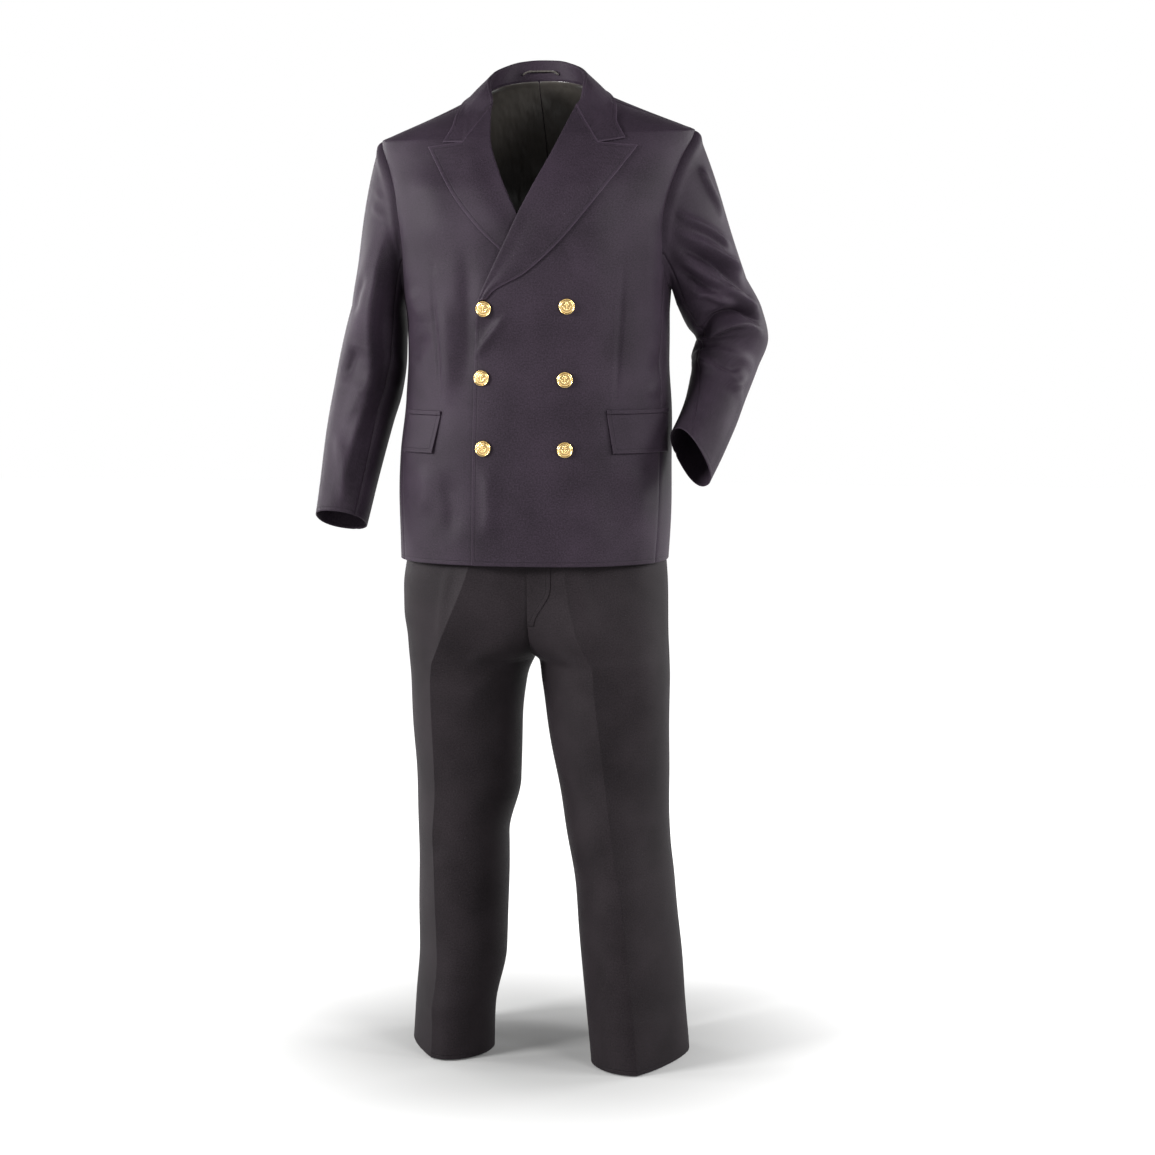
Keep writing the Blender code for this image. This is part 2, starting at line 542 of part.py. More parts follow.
def side_panel(side, cloth):
    """The panel under the arm, between the two side seams."""
    top = hole_bottom(side)
    front, back = side_seam("front", side), side_seam("back", side)
    across = np.linspace(0, 1, SIDE_COLUMNS + 1)[None, :, None]
    up = np.linspace(0, 1, BODY_ROWS + 1)[:, None, None]
    grid = (1 - across) * front[:, None] + across * back[:, None]
    straight_top = (1 - across) * top[0] + across * top[-1]
    grid = grid + up ** HOLLOW_POWER * (top[None] - straight_top)
    outer, inner = (body(grid[..., 0], grid[..., 1], out) for out in (0.0, -CLOTH))
    trim(outer, inner, ("top", "first", "last"))
    return wall("side_" + side_name(side), outer, inner, cloth)


def turned(start, along, out, roll, sheet, beta):
    """Point of a fold: the path leaves the wall's end and turns over through beta degrees."""
    radius = roll + sheet
    angle = np.radians(beta)
    middle = start + out * roll
    return middle - out * radius * np.cos(angle) + along * radius * np.sin(angle)


def space_under(share, roll):
    """Space under a lapel or the collar's end, from the fold's own height to lying on the body."""
    return LAPEL_LIE + (2 * roll - LAPEL_LIE) * (1 - ease(share, 0.0, SETTLE_SHARE))


def on_chords(rows):
    """Move every second point onto the chord between its neighbours, as the panel's edge runs."""
    rows = rows.copy()
    rows[1::2] = (rows[0:-1:2] + rows[2::2]) / 2
    return rows


def lapel(side, cloth):
    """One lapel, folded back at the break line, up to the gorge seam, the notch and the peak."""
    z_break = np.linspace(BREAK, BREAK_LINE[side][-1].z, LAPEL_ROWS + 1)
    x_break = columns_of(BREAK_LINE[side], "z")["x"](z_break)
    fold = on_chords(np.stack([x_break, z_break], -1))
    z_edge = np.linspace(LAPEL_EDGE[side][0].z, LAPEL_EDGE[side][-1].z, LAPEL_ROWS + 1)
    edge = np.stack([columns_of(LAPEL_EDGE[side], "z")["x"](z_edge), z_edge], -1)
    notch = np.array(NOTCH[side])
    share = FALL_SHARES
    gorge = np.interp(share, (0, NOTCH_SHARE, 1), (0, 1, 2))
    top = np.stack([np.interp(gorge, (0, 1, 2), (fold[-1][k], notch[k], edge[-1][k])) for k in (0, 1)], -1)
    t = share[None, :, None]
    plan = (1 - t) * fold[:, None] + t * edge[:, None]
    straight_top = (1 - share[:, None]) * fold[-1] + share[:, None] * edge[-1]
    climb = np.linspace(0, 1, LAPEL_ROWS + 1)[:, None, None] ** GORGE_POWER
    plan = plan + climb * (top - straight_top)[None]
    angle, level = on_front(side * plan[..., 0], plan[..., 1])
    base = rise_at(body(angle, level)) if side > 0 else 0.0 * angle
    normal = body_normal(angle, level)
    surface = body(angle, level, base)
    roll = LAPEL_ROLL[side]
    under = surface + normal * space_under(share, roll)[None, :, None]
    over = under + normal * CLOTH
    away = unit(surface[:, 0] - surface[:, 1])
    start, out = on_chords(surface[:, 0]), unit(on_chords(normal[:, 0]))
    curl_in = np.stack([turned(start, away, out, roll, 0.0, beta) for beta in ROLL_TURNS], 1)
    curl_out = np.stack([turned(start, away, out, roll, CLOTH, beta) for beta in ROLL_TURNS], 1)
    outer = np.concatenate([curl_out, over[:, 1:]], 1)
    inner = np.concatenate([curl_in, under[:, 1:]], 1)
    trim(outer, inner, ("top", "first"))
    return wall("lapel_" + side_name(side), outer, inner, cloth)


def gorge_line(side):
    """The gorge seam and the collar's front edge on the body's form, from the fold to the point."""
    notch, point = NOTCH[side], COLLAR_POINT[side]
    start = BREAK_LINE[side][-1]
    gorge = np.interp(FALL_SHARES, (0, NOTCH_SHARE, 1), (0, 1, 2))
    x = np.interp(gorge, (0, 1, 2), (start.x, notch.x, point.x))
    z = np.interp(gorge, (0, 1, 2), (start.z, notch.z, point.z))
    return on_front(side * x, z)


def neck_seam(side):
    """Both faces of the body's neck edge, from the gorge to the centre back."""
    front = front_edge_rows(side)[-NECK_ROWS - 1:]
    back = back_edge_rows(side)[-SIDE_COLUMNS - 1:][::-1][1:]
    rows = np.concatenate([front, back])
    out = np.where(np.arange(len(rows)) < 1, rise_at(body(rows[:, 0], rows[:, 1])) * (side > 0), 0.0)
    return body(rows[:, 0], rows[:, 1], out), body(rows[:, 0], rows[:, 1], out - CLOTH), rows


def collar_column(foot, fold, away, outward, roll, under, over):
    """Both faces of one column of the collar: stand, fold and fall."""
    top = fold - outward * CLOTH
    near = [foot[0], fold] + [turned(fold, away, outward, roll, 0.0, beta) for beta in ROLL_TURNS[1:-1]]
    far = [foot[1], top] + [turned(fold, away, outward, roll, CLOTH, beta) for beta in ROLL_TURNS[1:-1]]
    return np.concatenate([near, under]), np.concatenate([far, over])


def collar_side(side):
    """Both faces of one half of the collar, column by column from the gorge to the centre back."""
    seam_out, seam_in, rows = neck_seam(side)
    share = FALL_SHARES[:, None]
    angle, level = gorge_line(side)
    normal = body_normal(angle, level)
    surface = body(angle, level, rise_at(body(angle, level)) if side > 0 else 0.0 * angle)
    roll = LAPEL_ROLL[side]
    under = surface + normal * space_under(share, roll)
    away = unit(surface[0] - surface[1])
    foot = (surface[0], surface[0] - normal[0] * CLOTH)
    columns = [collar_column(foot, surface[0] + away * GORGE_STAND, away, normal[0], roll,
                             under, under + normal * CLOTH)]
    for station in COLLAR:
        first = min(int(station.place), len(rows) - 2)
        part = station.place - first
        foot = [grid[first] * (1 - part) + grid[first + 1] * part for grid in (seam_out, seam_in)]
        start = rows[first] * (1 - part) + rows[first + 1] * part
        edge = np.array([side_angle(np.radians(station.angle), side), station.level])
        path = (1 - share) * start + share * edge
        normal = body_normal(path[:, 0], path[:, 1])
        rest = body(path[:, 0], path[:, 1], LAPEL_LIE + (station.out - LAPEL_LIE) * share[:, 0])
        fold = np.array([side * station.fold_x, station.fold_y, station.fold_z])
        fold[2] += BODY["lift"](NECK) * fold[0]
        fold[0] += BODY["turn"](NECK) * fold[1]
        rising = unit(fold - foot[0])
        outward = rest[-1] - fold
        outward = unit(outward - rising * outward.dot(rising))
        hang = fold + outward * 2 * COLLAR_ROLL
        below = rest + (hang - rest[0]) * (1 - ease(share, 0.0, station.span))
        run = np.gradient(below, axis=0)
        along_neck = np.cross(rising, outward)
        lift = unit(np.cross(run, along_neck))
        lift = np.where(lift @ outward[:, None] < 0, -lift, lift)
        columns.append(collar_column(foot, fold, rising, outward, COLLAR_ROLL, below, below + lift * CLOTH))
    under_side, top_side = (np.stack(faces, 1) for faces in zip(*columns))
    return top_side, under_side


def collar(cloth):
    """The collar, one strip round the neck: stand, fold and fall."""
    left, right = collar_side(1), collar_side(-1)
    top, under = (np.concatenate([r, l[:, ::-1][:, 1:]], 1) for l, r in zip(left, right))
    trim(top, under, ("first", "last"))
    trim(top, under, ("bottom",), COLLAR_SEAM)
    return wall("collar", top, under, cloth)


def hole_loop(side):
    """Angle and level all round the armhole, from the shoulder tip down the front and up the back."""
    front = arm_side("front", side)[::-1]
    back = arm_side("back", side)
    return np.concatenate([front, hole_bottom(side)[1:], back[1:-1]])


def arm_rings(side):
    """Points of the free rings of one sleeve, as rows, and the way each ring's arm runs."""
    rings = ARMS[side]
    at = np.linspace(0, len(rings) - 1, ARM_SAMPLES)
    size = {name: smooth(range(len(rings)), [getattr(ring, name) for ring in rings])(at)
            for name in ArmRing._fields}
    inner = np.stack([side * size["inner_x"], size["middle_y"], size["inner_z"]], -1)
    outer = np.stack([side * size["outer_x"], size["middle_y"], size["outer_z"]], -1)
    middle, outward = (inner + outer) / 2, unit(outer - inner)
    half = np.linalg.norm(outer - inner, axis=-1) / 2
    level_front = np.array([0.0, -1.0, 0.0])
    down = unit(np.cross(outward, level_front)) * side
    down = np.where(down[:, 2:] > 0, -down, down)
    pitch = np.radians(size["pitch"])[:, None]
    front = level_front * np.cos(pitch) - down * np.sin(pitch)
    way = down * np.cos(pitch) + level_front * np.sin(pitch)
    columns = 2 * ARM_ROWS + SIDE_COLUMNS
    turn = np.arange(columns) / columns * 2 * np.pi
    across, along = np.cos(turn), np.sin(turn)
    radius = (np.abs(across / half[:, None]) ** ARM_SQUARENESS
              + np.abs(along / size["half_depth"][:, None]) ** ARM_SQUARENESS)
    radius = radius ** (-1 / ARM_SQUARENESS)
    points = (middle[:, None] + (radius * across)[..., None] * outward[:, None]
              + (radius * along)[..., None] * front[:, None])
    return points, way


def sleeve_grid(side):
    """Outer points of the whole sleeve, from the armhole to the cuff, and the inner ones."""
    loop = hole_loop(side)
    start = body(loop[:, 0], loop[:, 1])
    start_inner = body(loop[:, 0], loop[:, 1], -CLOTH)
    rings, way = arm_rings(side)
    columns = len(loop)
    turn = np.arange(columns) / columns * 2 * np.pi
    upper = (1 + np.cos(turn)) / 2
    normal = body_normal(loop[:, 0], loop[:, 1])
    edge = unit(np.roll(start, -1, 0) - np.roll(start, 1, 0))
    leave = unit(np.cross(edge, normal)) * side
    leave = np.where(((start.mean(0) - start) * leave).sum(-1, keepdims=True) < 0, -leave, leave)
    head = unit(np.array(HEAD_WAY) * (side, 1, 1))
    top_way = unit(leave * (1 - upper)[:, None] + head * (HEAD_SHARE + upper)[:, None])
    first = top_way * (UNDER_START + (PULL_START[side] - UNDER_START) * upper)[:, None]
    last = way[0][None] * (UNDER_END + (PULL_END[side] - UNDER_END) * upper)[:, None]
    first_ring, end_ring = start + leave * SEAM, rings[0]
    rows = [first_ring]
    for t in np.linspace(0, 1, CAP_ROWS + 1)[1:-1]:
        rows.append((1 + 2 * t) * (1 - t) ** 2 * first_ring + t * (1 - t) ** 2 * first
                    + t * t * (3 - 2 * t) * end_ring + t * t * (t - 1) * last)
    grid = np.concatenate([np.stack(rows), rings])
    grid = grid + sleeve_normal(grid) * arm_folds(side, grid)[..., None]
    inner = grid - sleeve_normal(grid) * CLOTH
    inner[0] = start_inner + leave * SEAM
    return grid, inner


def sleeve_normal(grid):
    around = np.roll(grid, -1, 1) - np.roll(grid, 1, 1)
    down = np.empty_like(grid)
    down[1:-1], down[0], down[-1] = grid[2:] - grid[:-2], grid[1] - grid[0], grid[-1] - grid[-2]
    normal = unit(np.cross(around, down))
    outward = grid - grid.mean(1, keepdims=True)
    return normal * np.sign((normal * outward).sum(-1).mean())


def arm_folds(side, grid):
    """Height of the drag folds at the elbow, for each point of the sleeve."""
    rows, columns = grid.shape[:2]
    row = np.linspace(0, 1, rows)[:, None]
    column = np.arange(columns)[None, :]
    height = np.zeros((rows, columns))
    for fold in ARM_FOLDS[side]:
        off = (column - fold.column + columns / 2) % columns - columns / 2
        line = row - fold.row - fold.slant * off
        reach = np.maximum(1 - (off / fold.length) ** 2, 0.0)
        height += fold.height * np.exp(-(line / fold.width) ** 2) * reach
    return height * ease(row, *FOLDS_BEGIN) * (1 - ease(row, *FOLDS_CEASE))


def sleeves(side, cloth):
    """Top sleeve and under sleeve, parted along the front and back seams."""
    outer, inner = sleeve_grid(side)
    columns = outer.shape[1]
    first, last = TOP_SLEEVE
    spans = {"sleeve_top_": range(first, last + 1), "sleeve_under_": range(last, first + columns + 1)}
    for name, span in spans.items():
        pick = [k % columns for k in span]
        near, far = outer[:, pick].copy(), inner[:, pick].copy()
        trim(near, far, ("first", "last"))
        wall(name + side_name(side), near, far, cloth)


def strip_on_front(name, side, x_rows, z_rows, columns, material, lie, sheet):
    """A piece that lies on a front, between an inner and an outer edge given for each row."""
    share = np.linspace(0, 1, columns + 1)[None, :]
    inner, outer = (np.stack(on_front(side * np.array(x), np.array(z_rows)), -1) for x in zip(*x_rows))
    angle, level = (inner[:, k, None] * (1 - share) + outer[:, k, None] * share for k in (0, 1))
    base = rise_at(body(angle, level)) if side > 0 else 0.0 * angle
    return wall(name, body(angle, level, base + lie + sheet), body(angle, level, base + lie), material)


def pocket(side, cloth):
    """Pocket flap and the jetted strip above it."""
    size = FLAPS[side]
    down = np.linspace(0, 1, FLAP_ROWS + 1)
    x_rows = [(size.top_in * (1 - t) + size.bottom_in * t, size.top_out * (1 - t) + size.bottom_out * t)
              for t in down]
    z_rows = [size.top * (1 - t) + size.bottom * t for t in down]
    strip_on_front("flap_" + side_name(side), side, x_rows, z_rows, FLAP_COLUMNS, cloth, LIE, CLOTH)
    strip_x = [(size.top_in, size.top_out)] * 2
    strip_z = [size.top + SEAM, size.strip_top]
    strip_on_front("pocket_strip_" + side_name(side), side, strip_x, strip_z, FLAP_COLUMNS, cloth, LIE, STRIP_SHEET)


def button(item, brass):
    """A domed metal button with a raised rim, turned about its own axis, on the left front."""
    mesh = bmesh.new()
    points = [mesh.verts.new((row.radius, 0.0, row.height)) for row in BUTTON_PROFILE]
    for a, b in zip(points, points[1:]):
        mesh.edges.new((a, b))
    piece = finish(item.name, mesh, brass)
    turn = piece.modifiers.new("turn", "SCREW")
    turn.steps = turn.render_steps = BUTTON_SIDES
    turn.use_merge_vertices = True
    turn.merge_threshold = BUTTON_MERGE
    turn.use_normal_calculate = True
    angle, level = on_front(item.x, item.z)
    out = rise_at(body(angle, level)) + item.lie
    normal = body_normal(angle, level)
    side_way = unit(np.cross((0.0, 0.0, 1.0), normal))
    up_way = np.cross(normal, side_way)
    place = np.eye(4)
    place[:3, 0], place[:3, 1], place[:3, 2] = side_way, up_way, normal
    place[:3, 3] = body(angle, level, out)
    piece.matrix_world = Matrix(place)
    return piece


def hanger_loop(satin):
    """Short loop of cord at the inside of the collar's stand."""
    curve = bpy.data.curves.new("hanger_loop", "CURVE")
    curve.dimensions = "3D"
    curve.bevel_depth = LOOP_RADIUS
    curve.bevel_resolution = 2
    curve.use_fill_caps = True
    line = curve.splines.new("POLY")
    shares = np.linspace(-1, 1, LOOP_POINTS)
    line.points.add(len(shares) - 1)
    for point, t in zip(line.points, shares):
        x = LOOP_HALF * t
        point.co = (LOOP_X + x, LOOP_Y - LOOP_BEND * x * x, LOOP_Z + LOOP_RISE * (1 - t * t), 1.0)
    piece = bpy.data.objects.new("hanger_loop", curve)
    curve.materials.append(satin)
    bpy.data.collections["naval_dress_uniform"].objects.link(piece)
    return piece


LEG_FORM = {side: columns_of(rows, "z") for side, rows in LEGS.items()}


def leg_ring(side, angle, z):
    """Point of one leg: angle 0 is its outer side and 90 degrees its front."""
    form = LEG_FORM[side]
    angle, z = np.broadcast_arrays(np.asarray(angle, float), np.asarray(z, float))
    middle, out = form["middle"](z), form["out"](z)
    across, along = np.cos(angle), np.sin(angle)
    depth = np.where(along >= 0, form["front"](z), form["back"](z))
    square = form["square"](z)
    radius = (np.abs(across / (out - middle)) ** square + np.abs(along / depth) ** square) ** (-1 / square)
    for ridge in (np.radians(form["crease"](z)), -np.radians(form["back_crease"](z))):
        off = np.degrees(np.abs((angle - ridge + np.pi) % (2 * np.pi) - np.pi))
        radius = radius * (1 + CREASE_RISE * np.exp(-off / CREASE_WIDTH))
    y = form["middle_y"](z) - radius * along + form["skew"](z) * radius * across
    return np.stack([side * (middle + radius * across), y, z], -1)


def leg_normal(side, angle, z, step=0.004):
    around = leg_ring(side, angle + step, z) - leg_ring(side, angle - step, z)
    upward = leg_ring(side, angle, z + step) - leg_ring(side, angle, z - step)
    return unit(np.cross(upward, around)) * side


def centre_angle(side, z, face):
    """Angle where a leg's ring meets the centre plane, or its inner side below the fork."""
    near, far = np.full_like(z, np.pi / 3), np.full_like(z, np.pi)
    sign = 1.0 if face == "front" else -1.0
    for _ in range(HALVINGS):
        half = (near + far) / 2
        over = side * leg_ring(side, sign * half, z)[..., 0] > SEAM / 2
        near, far = np.where(over, half, near), np.where(over, far, half)
    return sign * np.where(z <= FORK + 1e-6, np.pi, near)


def trouser_panel(side, face, cloth):
    """One trouser panel, from the side seam over the pressed crease to the centre seam or inseam."""
    z = np.array(LEG_LEVELS)
    sign = 1.0 if face == "front" else -1.0
    crease = sign * np.radians(LEG_FORM[side]["crease" if face == "front" else "back_crease"](z))
    end = centre_angle(side, z, face)
    t = np.linspace(0, 1, LEG_COLUMNS + 1)[None, :]
    first = t * crease[:, None]
    second = (1 - t) * crease[:, None] + t * end[:, None]
    angle = np.concatenate([first, second[:, 1:]], 1)
    level = z[:, None] + 0 * angle
    outer = leg_ring(side, angle, level)
    inner = outer - leg_normal(side, angle, level) * CLOTH
    above = z > FORK + 1e-6
    inner[above, -1, 0] = side * SEAM / 2
    trim(outer, inner, ("first",))
    below = ~above
    for grid in (outer, inner):
        grid[below, -1] += unit(grid[below, -2] - grid[below, -1]) * SEAM / 2
    return wall("trouser_" + face + "_" + side_name(side), outer, inner, cloth)


def waistband(cloth):
    """The waistband, a closed ring above the trouser panels."""
    turn = np.arange(BAND_SIDES) / BAND_SIDES * 2 * np.pi
    levels = (TROUSER_TOP + SEAM, BAND_TOP)

    def ring(z, wall_depth):
        across, along = np.cos(turn), np.sin(turn)
        form = LEG_FORM[1]
        half, front, back = (float(form[name](z)) + CLOTH / 2 - wall_depth for name in ("out", "front", "back"))
        depth = np.where(along >= 0, front, back)
        radius = np.abs(across / half) ** BAND_SQUARENESS + np.abs(along / depth) ** BAND_SQUARENESS
        radius = radius ** (-1 / BAND_SQUARENESS)
        return np.stack([radius * across, -radius * along, np.full_like(turn, z)], -1)

    outer = np.stack([ring(z, 0.0) for z in levels])
    inner = np.stack([ring(z, BAND_WALL) for z in levels])
    return wall("waistband", outer, inner, cloth, closed=True)


def fly(cloth):
    """The fly's overlap, a strip on the wearer's left of the centre front seam."""
    z = np.array([level for level in LEG_LEVELS if level > FLY_END] + [FLY_END])
    z[0] -= SEAM
    end = centre_angle(1, z, "front")
    edge = leg_ring(1, end, z)[:, 0]
    taper = 1 - FLY_NARROWING * ease(-z, -FLY_END - FLY_CURVE, -FLY_END)
    target = SEAM / 2 + FLY_WIDTH * taper
    near, far = np.radians(FLY_LIMIT) + 0 * end, end.copy()
    for _ in range(HALVINGS):
        half = (near + far) / 2
        wide = leg_ring(1, half, z)[:, 0] > target
        near, far = np.where(wide, half, near), np.where(wide, far, half)
    t = np.linspace(0, 1, FLY_COLUMNS + 1)[None, :]
    angle = (1 - t) * near[:, None] + t * end[:, None]
    level = z[:, None] + 0 * angle
    base, normal = leg_ring(1, angle, level), leg_normal(1, angle, level)
    return wall("fly", base + normal * (FLY_LIE + FLY_SHEET), base + normal * FLY_LIE, cloth)


def main():
    for item in list(bpy.data.objects):
        bpy.data.objects.remove(item)
    group = bpy.data.collections.new("naval_dress_uniform")
    bpy.context.scene.collection.children.link(group)
    jacket_cloth = colour("jacket_twill", (0.045, 0.036, 0.052), 0.85)
    trouser_cloth = colour("trouser_twill", (0.034, 0.030, 0.033), 0.88)
    satin = colour("lining_satin", (0.020, 0.018, 0.020), 0.35)
    brass = colour("gilt_brass", (0.80, 0.55, 0.20), 0.25, 1.0)
    for side in (1, -1):
        front_panel(side, jacket_cloth)
        back_panel(side, jacket_cloth)
        back_lining(side, satin)
        side_panel(side, jacket_cloth)
        lapel(side, jacket_cloth)
        sleeves(side, jacket_cloth)
        pocket(side, jacket_cloth)
        trouser_panel(side, "front", trouser_cloth)
        trouser_panel(side, "back", trouser_cloth)
    collar(jacket_cloth)
    for item in BUTTONS:
        button(item, brass)
    hanger_loop(satin)
    waistband(trouser_cloth)
    fly(trouser_cloth)


main()
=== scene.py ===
# %% [markdown]
# # A naval dress uniform, worn by nobody
# The real uniform is a double-breasted jacket and pleated trousers, tailored from one dark wool
# twill. A tailor draws each panel flat, shrinks and presses it over a form and sews it to its
# neighbours, so every panel is a patch of one smooth body surface with creases on top. That is
# also how it is built here: a function gives the body's surface from an angle and a level, each
# panel is a grid over part of it, and seams, rolls and drag folds move the grid along its normal.

from collections import namedtuple

import bpy
import numpy as np
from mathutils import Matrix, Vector


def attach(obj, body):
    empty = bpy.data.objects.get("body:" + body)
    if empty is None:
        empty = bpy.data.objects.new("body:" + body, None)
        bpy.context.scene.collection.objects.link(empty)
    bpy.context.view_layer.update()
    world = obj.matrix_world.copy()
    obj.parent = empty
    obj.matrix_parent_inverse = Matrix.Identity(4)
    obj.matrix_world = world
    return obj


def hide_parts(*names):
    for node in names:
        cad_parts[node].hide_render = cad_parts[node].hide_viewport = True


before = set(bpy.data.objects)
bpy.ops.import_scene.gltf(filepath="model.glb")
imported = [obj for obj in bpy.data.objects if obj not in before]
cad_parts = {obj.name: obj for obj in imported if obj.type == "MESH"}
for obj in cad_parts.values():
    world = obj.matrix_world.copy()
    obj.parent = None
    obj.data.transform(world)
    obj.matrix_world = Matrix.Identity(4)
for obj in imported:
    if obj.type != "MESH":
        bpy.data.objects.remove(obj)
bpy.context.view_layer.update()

# %% [markdown]
# ## The body's sections
# A tailor's block is a stack of girths. Each row below is one ring round the body: its half width
# and its depth to the front and back, how far it leans, and how far the shoulders slope. A smooth
# function runs through each column, so a ring can be worked out at any height between the rows.
# The wearer's left is +X, the front faces -Y, and the origin lies between the shoulders.

# %% Sections of the jacket
HEM = -0.705
BREAK = -0.303          # where the front edge turns into the lapel
ARMPIT = -0.290
TIP = -0.050            # shoulder tip
NECK = 0.012            # side of the neck
TROUSER_TOP = -0.5955
FORK = -0.8655
TROUSER_HEM = -1.497

SQUARENESS = 2.4        # power of the body's rings, 2 is an ellipse

Ring = namedtuple("Ring", "level half front back lean lift sway turn")
TORSO = [
    Ring(-0.720, 0.2105, 0.148, 0.138, 0.00, 0.000, -0.0055, 0.00),
    Ring(-0.600, 0.2142, 0.149, 0.139, 0.00, 0.000, -0.0040, 0.00),
    Ring(-0.540, 0.2130, 0.148, 0.137, 0.00, 0.000, -0.0030, 0.00),
    Ring(-0.455, 0.2075, 0.146, 0.132, 0.00, 0.000, 0.0015, 0.00),
    Ring(-0.390, 0.2035, 0.147, 0.131, 0.00, 0.004, 0.0018, 0.00),
    Ring(-0.330, 0.2040, 0.150, 0.134, 0.00, 0.012, 0.0010, 0.00),
    Ring(-0.290, 0.2080, 0.152, 0.139, 0.00, 0.018, 0.0000, 0.00),
    Ring(-0.200, 0.2150, 0.149, 0.146, 0.01, 0.022, 0.0000, 0.00),
    Ring(-0.140, 0.2270, 0.136, 0.146, 0.02, 0.024, 0.0000, 0.00),
    Ring(-0.100, 0.2370, 0.116, 0.139, 0.04, 0.026, 0.0000, -0.01),
    Ring(-0.050, 0.2440, 0.088, 0.120, 0.08, 0.026, 0.0000, -0.03),
    Ring(-0.042, 0.2270, 0.083, 0.116, 0.11, 0.026, 0.0000, -0.04),
    Ring(-0.030, 0.1960, 0.077, 0.110, 0.15, 0.026, 0.0000, -0.05),
    Ring(-0.010, 0.1420, 0.067, 0.099, 0.25, 0.026, 0.0000, -0.08),
    Ring(0.004, 0.1050, 0.060, 0.090, 0.32, 0.026, 0.0000, -0.10),
    Ring(0.012, 0.0830, 0.057, 0.085, 0.35, 0.026, 0.0000, -0.10),
    Ring(0.020, 0.0800, 0.055, 0.085, 0.35, 0.026, 0.0000, -0.10),
    Ring(0.055, 0.0750, 0.053, 0.091, 0.35, 0.026, 0.0000, -0.10),
]
print(len(TORSO), "rings from", TORSO[0].level, "to", TORSO[-1].level)

# %% [markdown]
# ## Where the panels are cut
# Armholes, side seams, the front edge and the break line, where the front folds back into the
# lapel, are lines on that body. They are given by a few points each, read off the real garment.

# %% Lines of the cut
ArmholeRow = namedtuple("ArmholeRow", "turn front front_level back back_level")
ARMHOLE = [
    ArmholeRow(0.00, 0.000, ARMPIT, 0.000, ARMPIT),
    ArmholeRow(0.11, 0.030, -0.283, 0.032, -0.282),
    ArmholeRow(0.22, 0.050, -0.262, 0.056, -0.258),
    ArmholeRow(0.35, 0.064, -0.228, 0.074, -0.222),
    ArmholeRow(0.50, 0.069, -0.185, 0.080, -0.180),
    ArmholeRow(0.62, 0.065, -0.150, 0.077, -0.147),
    ArmholeRow(0.75, 0.053, -0.112, 0.064, -0.110),
    ArmholeRow(0.87, 0.034, -0.079, 0.040, -0.078),
    ArmholeRow(1.00, 0.000, TIP, 0.000, TIP),
]
SIDE_SEAM = 0.22        # where the side seams meet the armhole, as its turn
SIDE_SEAM_HEM = {"front": 0.068, "back": 0.075}

# Front edge and lapels, x on the wearer's own side of the centre, seen from the front
EdgeRow = namedtuple("EdgeRow", "z x")
FRONT_EDGE = {
    1: [EdgeRow(HEM, -0.0822), EdgeRow(-0.503, -0.0794), EdgeRow(-0.394, -0.0766), EdgeRow(BREAK, -0.0700)],
    -1: [EdgeRow(HEM, -0.0780), EdgeRow(-0.503, -0.0760), EdgeRow(-0.394, -0.0740), EdgeRow(BREAK, -0.0680)],
}
BREAK_LINE = {
    1: [EdgeRow(BREAK, -0.0660), EdgeRow(-0.229, -0.0310), EdgeRow(-0.170, -0.0030), EdgeRow(-0.090, 0.0350),
        EdgeRow(-0.012, 0.0670)],
    -1: [EdgeRow(BREAK, -0.0640), EdgeRow(-0.235, -0.0260), EdgeRow(-0.175, 0.0130), EdgeRow(-0.105, 0.0470),
         EdgeRow(-0.063, 0.0610), EdgeRow(-0.012, 0.0660)],
}
LAPEL_EDGE = {
    1: [EdgeRow(-0.3010, -0.0560), EdgeRow(-0.2878, -0.0428), EdgeRow(-0.2636, 0.0011),
        EdgeRow(-0.2130, 0.0556), EdgeRow(-0.1388, 0.1152), EdgeRow(-0.0716, 0.1634)],
    -1: [EdgeRow(-0.2960, -0.0540), EdgeRow(-0.2700, -0.0200), EdgeRow(-0.2275, 0.0358),
         EdgeRow(-0.1882, 0.0768), EdgeRow(-0.1476, 0.1098), EdgeRow(-0.0725, 0.1560)],
}
Corner = namedtuple("Corner", "x z")
NOTCH = {1: Corner(0.1042, -0.0690), -1: Corner(0.1020, -0.0667)}
COLLAR_POINT = {1: Corner(0.1446, -0.0600), -1: Corner(0.1335, -0.0655)}
NOTCH_SHARE = 0.66      # share of the lapel's top, and of the collar's end, that is the gorge seam
SETTLE_SHARE = 0.26     # share over which the cloth comes down from the fold
LAPEL_ROLL = {1: 0.0013, -1: 0.0009}
LAPEL_LIE = 0.0012      # space under a lapel, which bridges the hollow of the chest

# How far the left front stands off the right one, along the overlap
OverlapRow = namedtuple("OverlapRow", "z rise")
OVERLAP = [
    OverlapRow(HEM - 0.02, 0.0031), OverlapRow(-0.400, 0.0031), OverlapRow(-0.310, 0.0078),
    OverlapRow(-0.200, 0.0082), OverlapRow(-0.110, 0.0028), OverlapRow(-0.040, 0.0),
]
OVERLAP_FULL = 0.098    # x up to which the left front stands off
OVERLAP_END = 0.150     # x where it is back on the body's form
print("the left front laps over the right one by up to", max(row.rise for row in OVERLAP), "m")

